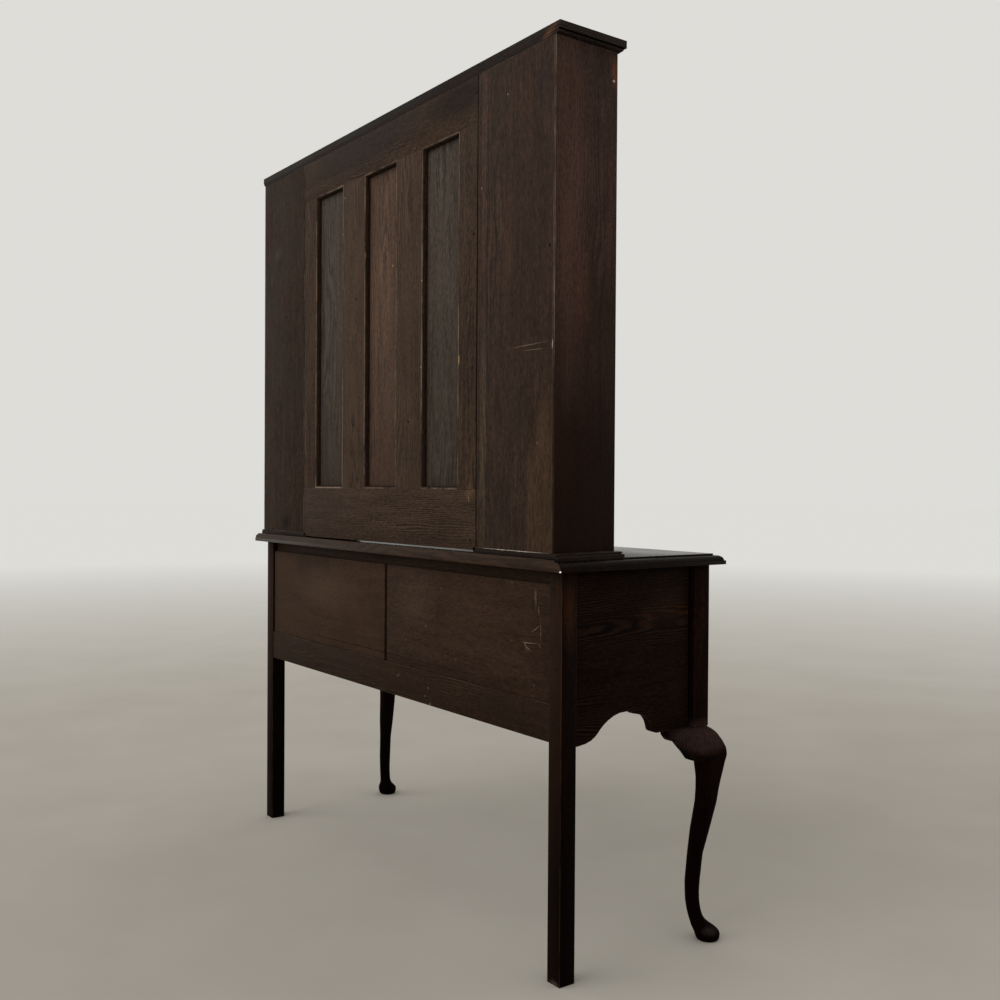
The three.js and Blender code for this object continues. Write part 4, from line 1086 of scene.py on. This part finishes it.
# Radius and distance from the plate, in millimetres
post_profile = ((0, -1), (7.5, -1), (7.5, 0.6), (6.2, 1.4), (4.4, 2.2), (3.6, 3.6), (3.9, 4.8), (5.0, 6.2),
                (5.6, 8.0), (5.6, 10.0), (4.8, 11.6), (3.0, 12.7), (0, 13))
spin_steps = 28


def closed_up(bm):
    """Merges the doubles along seams and at poles, and turns all faces outwards."""
    bmesh.ops.remove_doubles(bm, verts=bm.verts, dist=merge_distance)
    bmesh.ops.recalc_face_normals(bm, faces=bm.faces)
    return bm


def curved(name, points, radii, closed, **settings):
    """A bmesh of a smooth curve through points. The settings give it a section."""
    curve = bpy.data.curves.new(name, "CURVE")
    for key, value in settings.items():
        setattr(curve, key, value)
    spline = curve.splines.new("BEZIER")
    spline.bezier_points.add(len(points) - 1)
    spline.use_cyclic_u = closed
    for knot, point, radius in zip(spline.bezier_points, points, radii):
        knot.co = point
        knot.radius = radius
        knot.handle_left_type = knot.handle_right_type = "AUTO"
    bm = add_mesh(bmesh.new(), made_mesh(placed(name, curve)))
    bpy.data.curves.remove(curve)
    return closed_up(bm)


def spun(profile, centre):
    """A turned form that points to the front. Its profile is pairs of radius and length in millimetres."""
    bm = bmesh.new()
    along = Vector((0, -1, 0))
    aside = along.orthogonal().normalized()
    verts = [bm.verts.new(centre + mm * (radius * aside + length * along)) for radius, length in profile]
    edges = [bm.edges.new(two) for two in zip(verts, verts[1:])]
    bmesh.ops.spin(bm, geom=verts + edges, cent=centre, axis=along, angle=2 * math.pi, steps=spin_steps,
                   use_merge=True)
    return closed_up(bm)


def handle_plate(middle):
    half = [Vector((x * plate_half, z * plate_high / 2, 0)) for x, z in plate_shares]
    outline = half + [Vector((-p.x, p.y, 0)) for p in reversed(half[1:-1])]
    bm = curved("plate", outline, [1] * len(outline), True, dimensions="2D", fill_mode="BOTH",
                extrude=plate_thick / 2 - plate_rim, bevel_depth=plate_rim, bevel_resolution=2,
                offset=-plate_rim, resolution_u=6)
    upright = Matrix.Rotation(math.pi / 2, 4, "X")
    back = Matrix.Translation(middle + Vector((0, pivot_reach + plate_thick / 2, 0)))
    bmesh.ops.transform(bm, matrix=back @ upright, verts=bm.verts)
    for spread in (-post_spread, post_spread):
        joined(bm, spun(post_profile, middle + Vector((spread, pivot_reach, 0))))
    return bm


def handle_bail(middle):
    half = [(post_spread, 0)] + [(x * bail_shoulder, -z * bail_drop) for x, z in bail_shares]
    line = half + [(-x, z) for x, z in reversed(half[:-1])]
    points = [middle + Vector((x, 0, z)) for x, z in line]
    swell = [1 - bail_swell * abs(x) / post_spread for x, z in line]
    return curved("bail", points, swell, False, dimensions="3D", bevel_depth=bail_wire,
                  bevel_resolution=4, use_fill_caps=True, resolution_u=10)


def brass_piece(node, bm):
    make_piece(node + "_brass", bm, "brass", body_of(node), [node])


for side in sides:
    for place in ("inner", "outer"):
        plate = f"handle_plate_{side}_{place}"
        pivot = middle_of(plate)
        pivot.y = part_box(f"drawer_front_{side}")[0].y - plate_gap - plate_thick - pivot_reach
        brass_piece(plate, handle_plate(pivot))
        brass_piece(f"handle_bail_{side}_{place}", handle_bail(pivot))
        print(side, place, "handle hangs at", [round(value, 4) for value in pivot])

# %% [markdown]
# A door knob is turned: a rose against the door, a thin neck and a round head.
# The hinges are small butts. The leaf on the rack and every second knuckle stay with the rack,
# and the leaf on the door's edge and the other knuckles swing with the door.

# %% Knobs and hinges
# Radius and distance from the door, in millimetres
knob_profile = ((0, -9.5), (3.9, -9.5), (3.9, 0), (10.5, 0), (10.5, 1.0), (9.6, 2.0), (7.2, 2.6), (5.2, 4.0),
                (4.6, 6.5), (5.0, 9.5), (7.4, 12.4), (10.6, 14.8), (12.6, 17.6), (12.9, 20.0), (11.8, 22.4),
                (8.8, 24.2), (4.6, 24.9), (0, 25))
knuckles = 5
knuckle_gap = 0.25 * mm
door_gap = 1.5 * mm  # the hinge's axis is midway between the door's outer edge and the rack's side
barrel_radius = 3 * mm
leaf_thick = 1.2 * mm
leaf_wide = 15 * mm
leaf_aside = 0.35 * mm  # from the hinge's axis to each leaf's face
leaf_clear = 2 * mm
screw_radius = 2.2 * mm
screw_head = 0.15 * mm
screw_heights = (0.15, 0.5, 0.85)  # shares of the leaf's height
screw_aside = 0.6  # share of the leaf's width
screw_sides = 16
barrel_sides = 20
hinge_rounding = 0.2 * mm


def block(bm, one, other):
    """Adds a block between two opposite corners."""
    size = [abs(reach) for reach in other - one]
    place = Matrix.Translation((one + other) / 2) @ Matrix.Diagonal((*size, 1))
    bmesh.ops.create_cube(bm, size=1, matrix=place)


def bar(bm, centre, radius, length, segments, turn_about=None):
    """Adds a round bar that stands upright, or lies once it is turned about X or Y."""
    place = Matrix.Translation(centre)
    if turn_about:
        place = place @ Matrix.Rotation(math.pi / 2, 4, turn_about)
    bmesh.ops.create_cone(bm, cap_ends=True, segments=segments, radius1=radius, radius2=radius,
                          depth=length, matrix=place)


def hinge_half(node, axis_x, towards, swings):
    """One half of a butt hinge, with its leaf to the right of the axis if towards is 1."""
    low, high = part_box(node)
    bm = bmesh.new()
    axis_y = low.y + barrel_radius
    leaf_x = axis_x + leaf_aside * towards
    near_y = axis_y + leaf_clear
    block(bm, Vector((leaf_x, near_y, low.z)),
          Vector((leaf_x + leaf_thick * towards, near_y + leaf_wide, high.z)))
    for share in screw_heights:
        bar(bm, (leaf_x, near_y + leaf_wide * screw_aside, low.z + (high.z - low.z) * share),
            screw_radius, 2 * screw_head, screw_sides, "Y")
    step = (high.z - low.z) / knuckles
    for i in range(int(swings), knuckles, 2):
        bar(bm, (axis_x, axis_y, low.z + (i + 0.5) * step), barrel_radius, step - 2 * knuckle_gap,
            barrel_sides)
    round_corners(bm, hinge_rounding)
    return bm


for side in sides:
    outward = 1 if side == "right" else -1
    node = f"door_knob_{side}"
    centre = middle_of(node)
    centre.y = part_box(f"door_frame_{side}")[0].y - plate_gap
    brass_piece(node, spun(knob_profile, centre))
    low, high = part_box(f"door_frame_{side}")
    axis_x = (high.x if outward > 0 else low.x) + outward * door_gap / 2
    for level in ("lower", "upper"):
        node = f"door_hinge_{level}_{side}"
        make_piece(node + "_rack_half", hinge_half(node, axis_x, outward, False), "brass", "root", [node])
        make_piece(node + "_door_half", hinge_half(node, axis_x, -outward, True), "brass", f"door_{side}")

# %% [markdown]
# Small things show that the dresser was put together by hand. The boards of the back are nailed to the
# shelves and partitions behind them, and the nail holes are stopped with dark wax.
# The joints of the legs are held by pegs, whose ends stand a hair above the wood.

# %% Stopped nail holes and pegs
nail_radius = 3.0 * mm
peg_radius = 3.2 * mm
stop_sides = 12
stop_deep = 1.5 * mm
stop_proud = 0.15 * mm
# Places across and up the back, in millimetres
nail_places = ((510, 1392), (116, 1388), (-384, 1454), (-633, 1388), (-381, 1181), (-394, 1075), (-130, 1081),
               (129, 1086), (-377, 826), (590, 816), (-390, 1741), (391, 1521), (-398, 826))
peg_places = ((632, 745.6), (642, 596), (634, 492))
wax_tones = (tint(10, 7, 5), tint(26, 19, 15))
wax_grain = 900.0
wax_rough = 0.7


def dark_wax():
    recipe = new_finish("dark_wax")
    grime = recipe.noise(wax_grain)
    colour = recipe.mixed(recipe.ranged(grime, 0.35, 0.65), *wax_tones)
    return recipe.finished(colour, wax_rough, grime, 0.05 * mm, bare_oak)


def stoppings(places, y, radius):
    """Low rounded discs on a face that looks back along Y."""
    bm = bmesh.new()
    for x, z in places:
        bar(bm, (x * mm, y - stop_deep + stop_proud, z * mm), radius, 2 * stop_deep, stop_sides, "X")
    return bm


finishes["wax"] = (dark_wax(), "black_oak")
make_piece("back_nail_stoppings", stoppings(nail_places, rack_face, nail_radius), "wax", "root")
all_pegs = [(side * x, z) for side in (-1, 1) for x, z in peg_places]
make_piece("leg_pegs", stoppings(all_pegs, leg_high.y, peg_radius), "wax", "root")
print("stopped nail holes:", len(nail_places), "and pegs:", len(all_pegs))

# %% [markdown]
# The script ends by printing the size of the box that the dressed dresser fills.

# %% Finish
low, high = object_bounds()
print("visual size in metres:", [round(size, 4) for size in high - low])
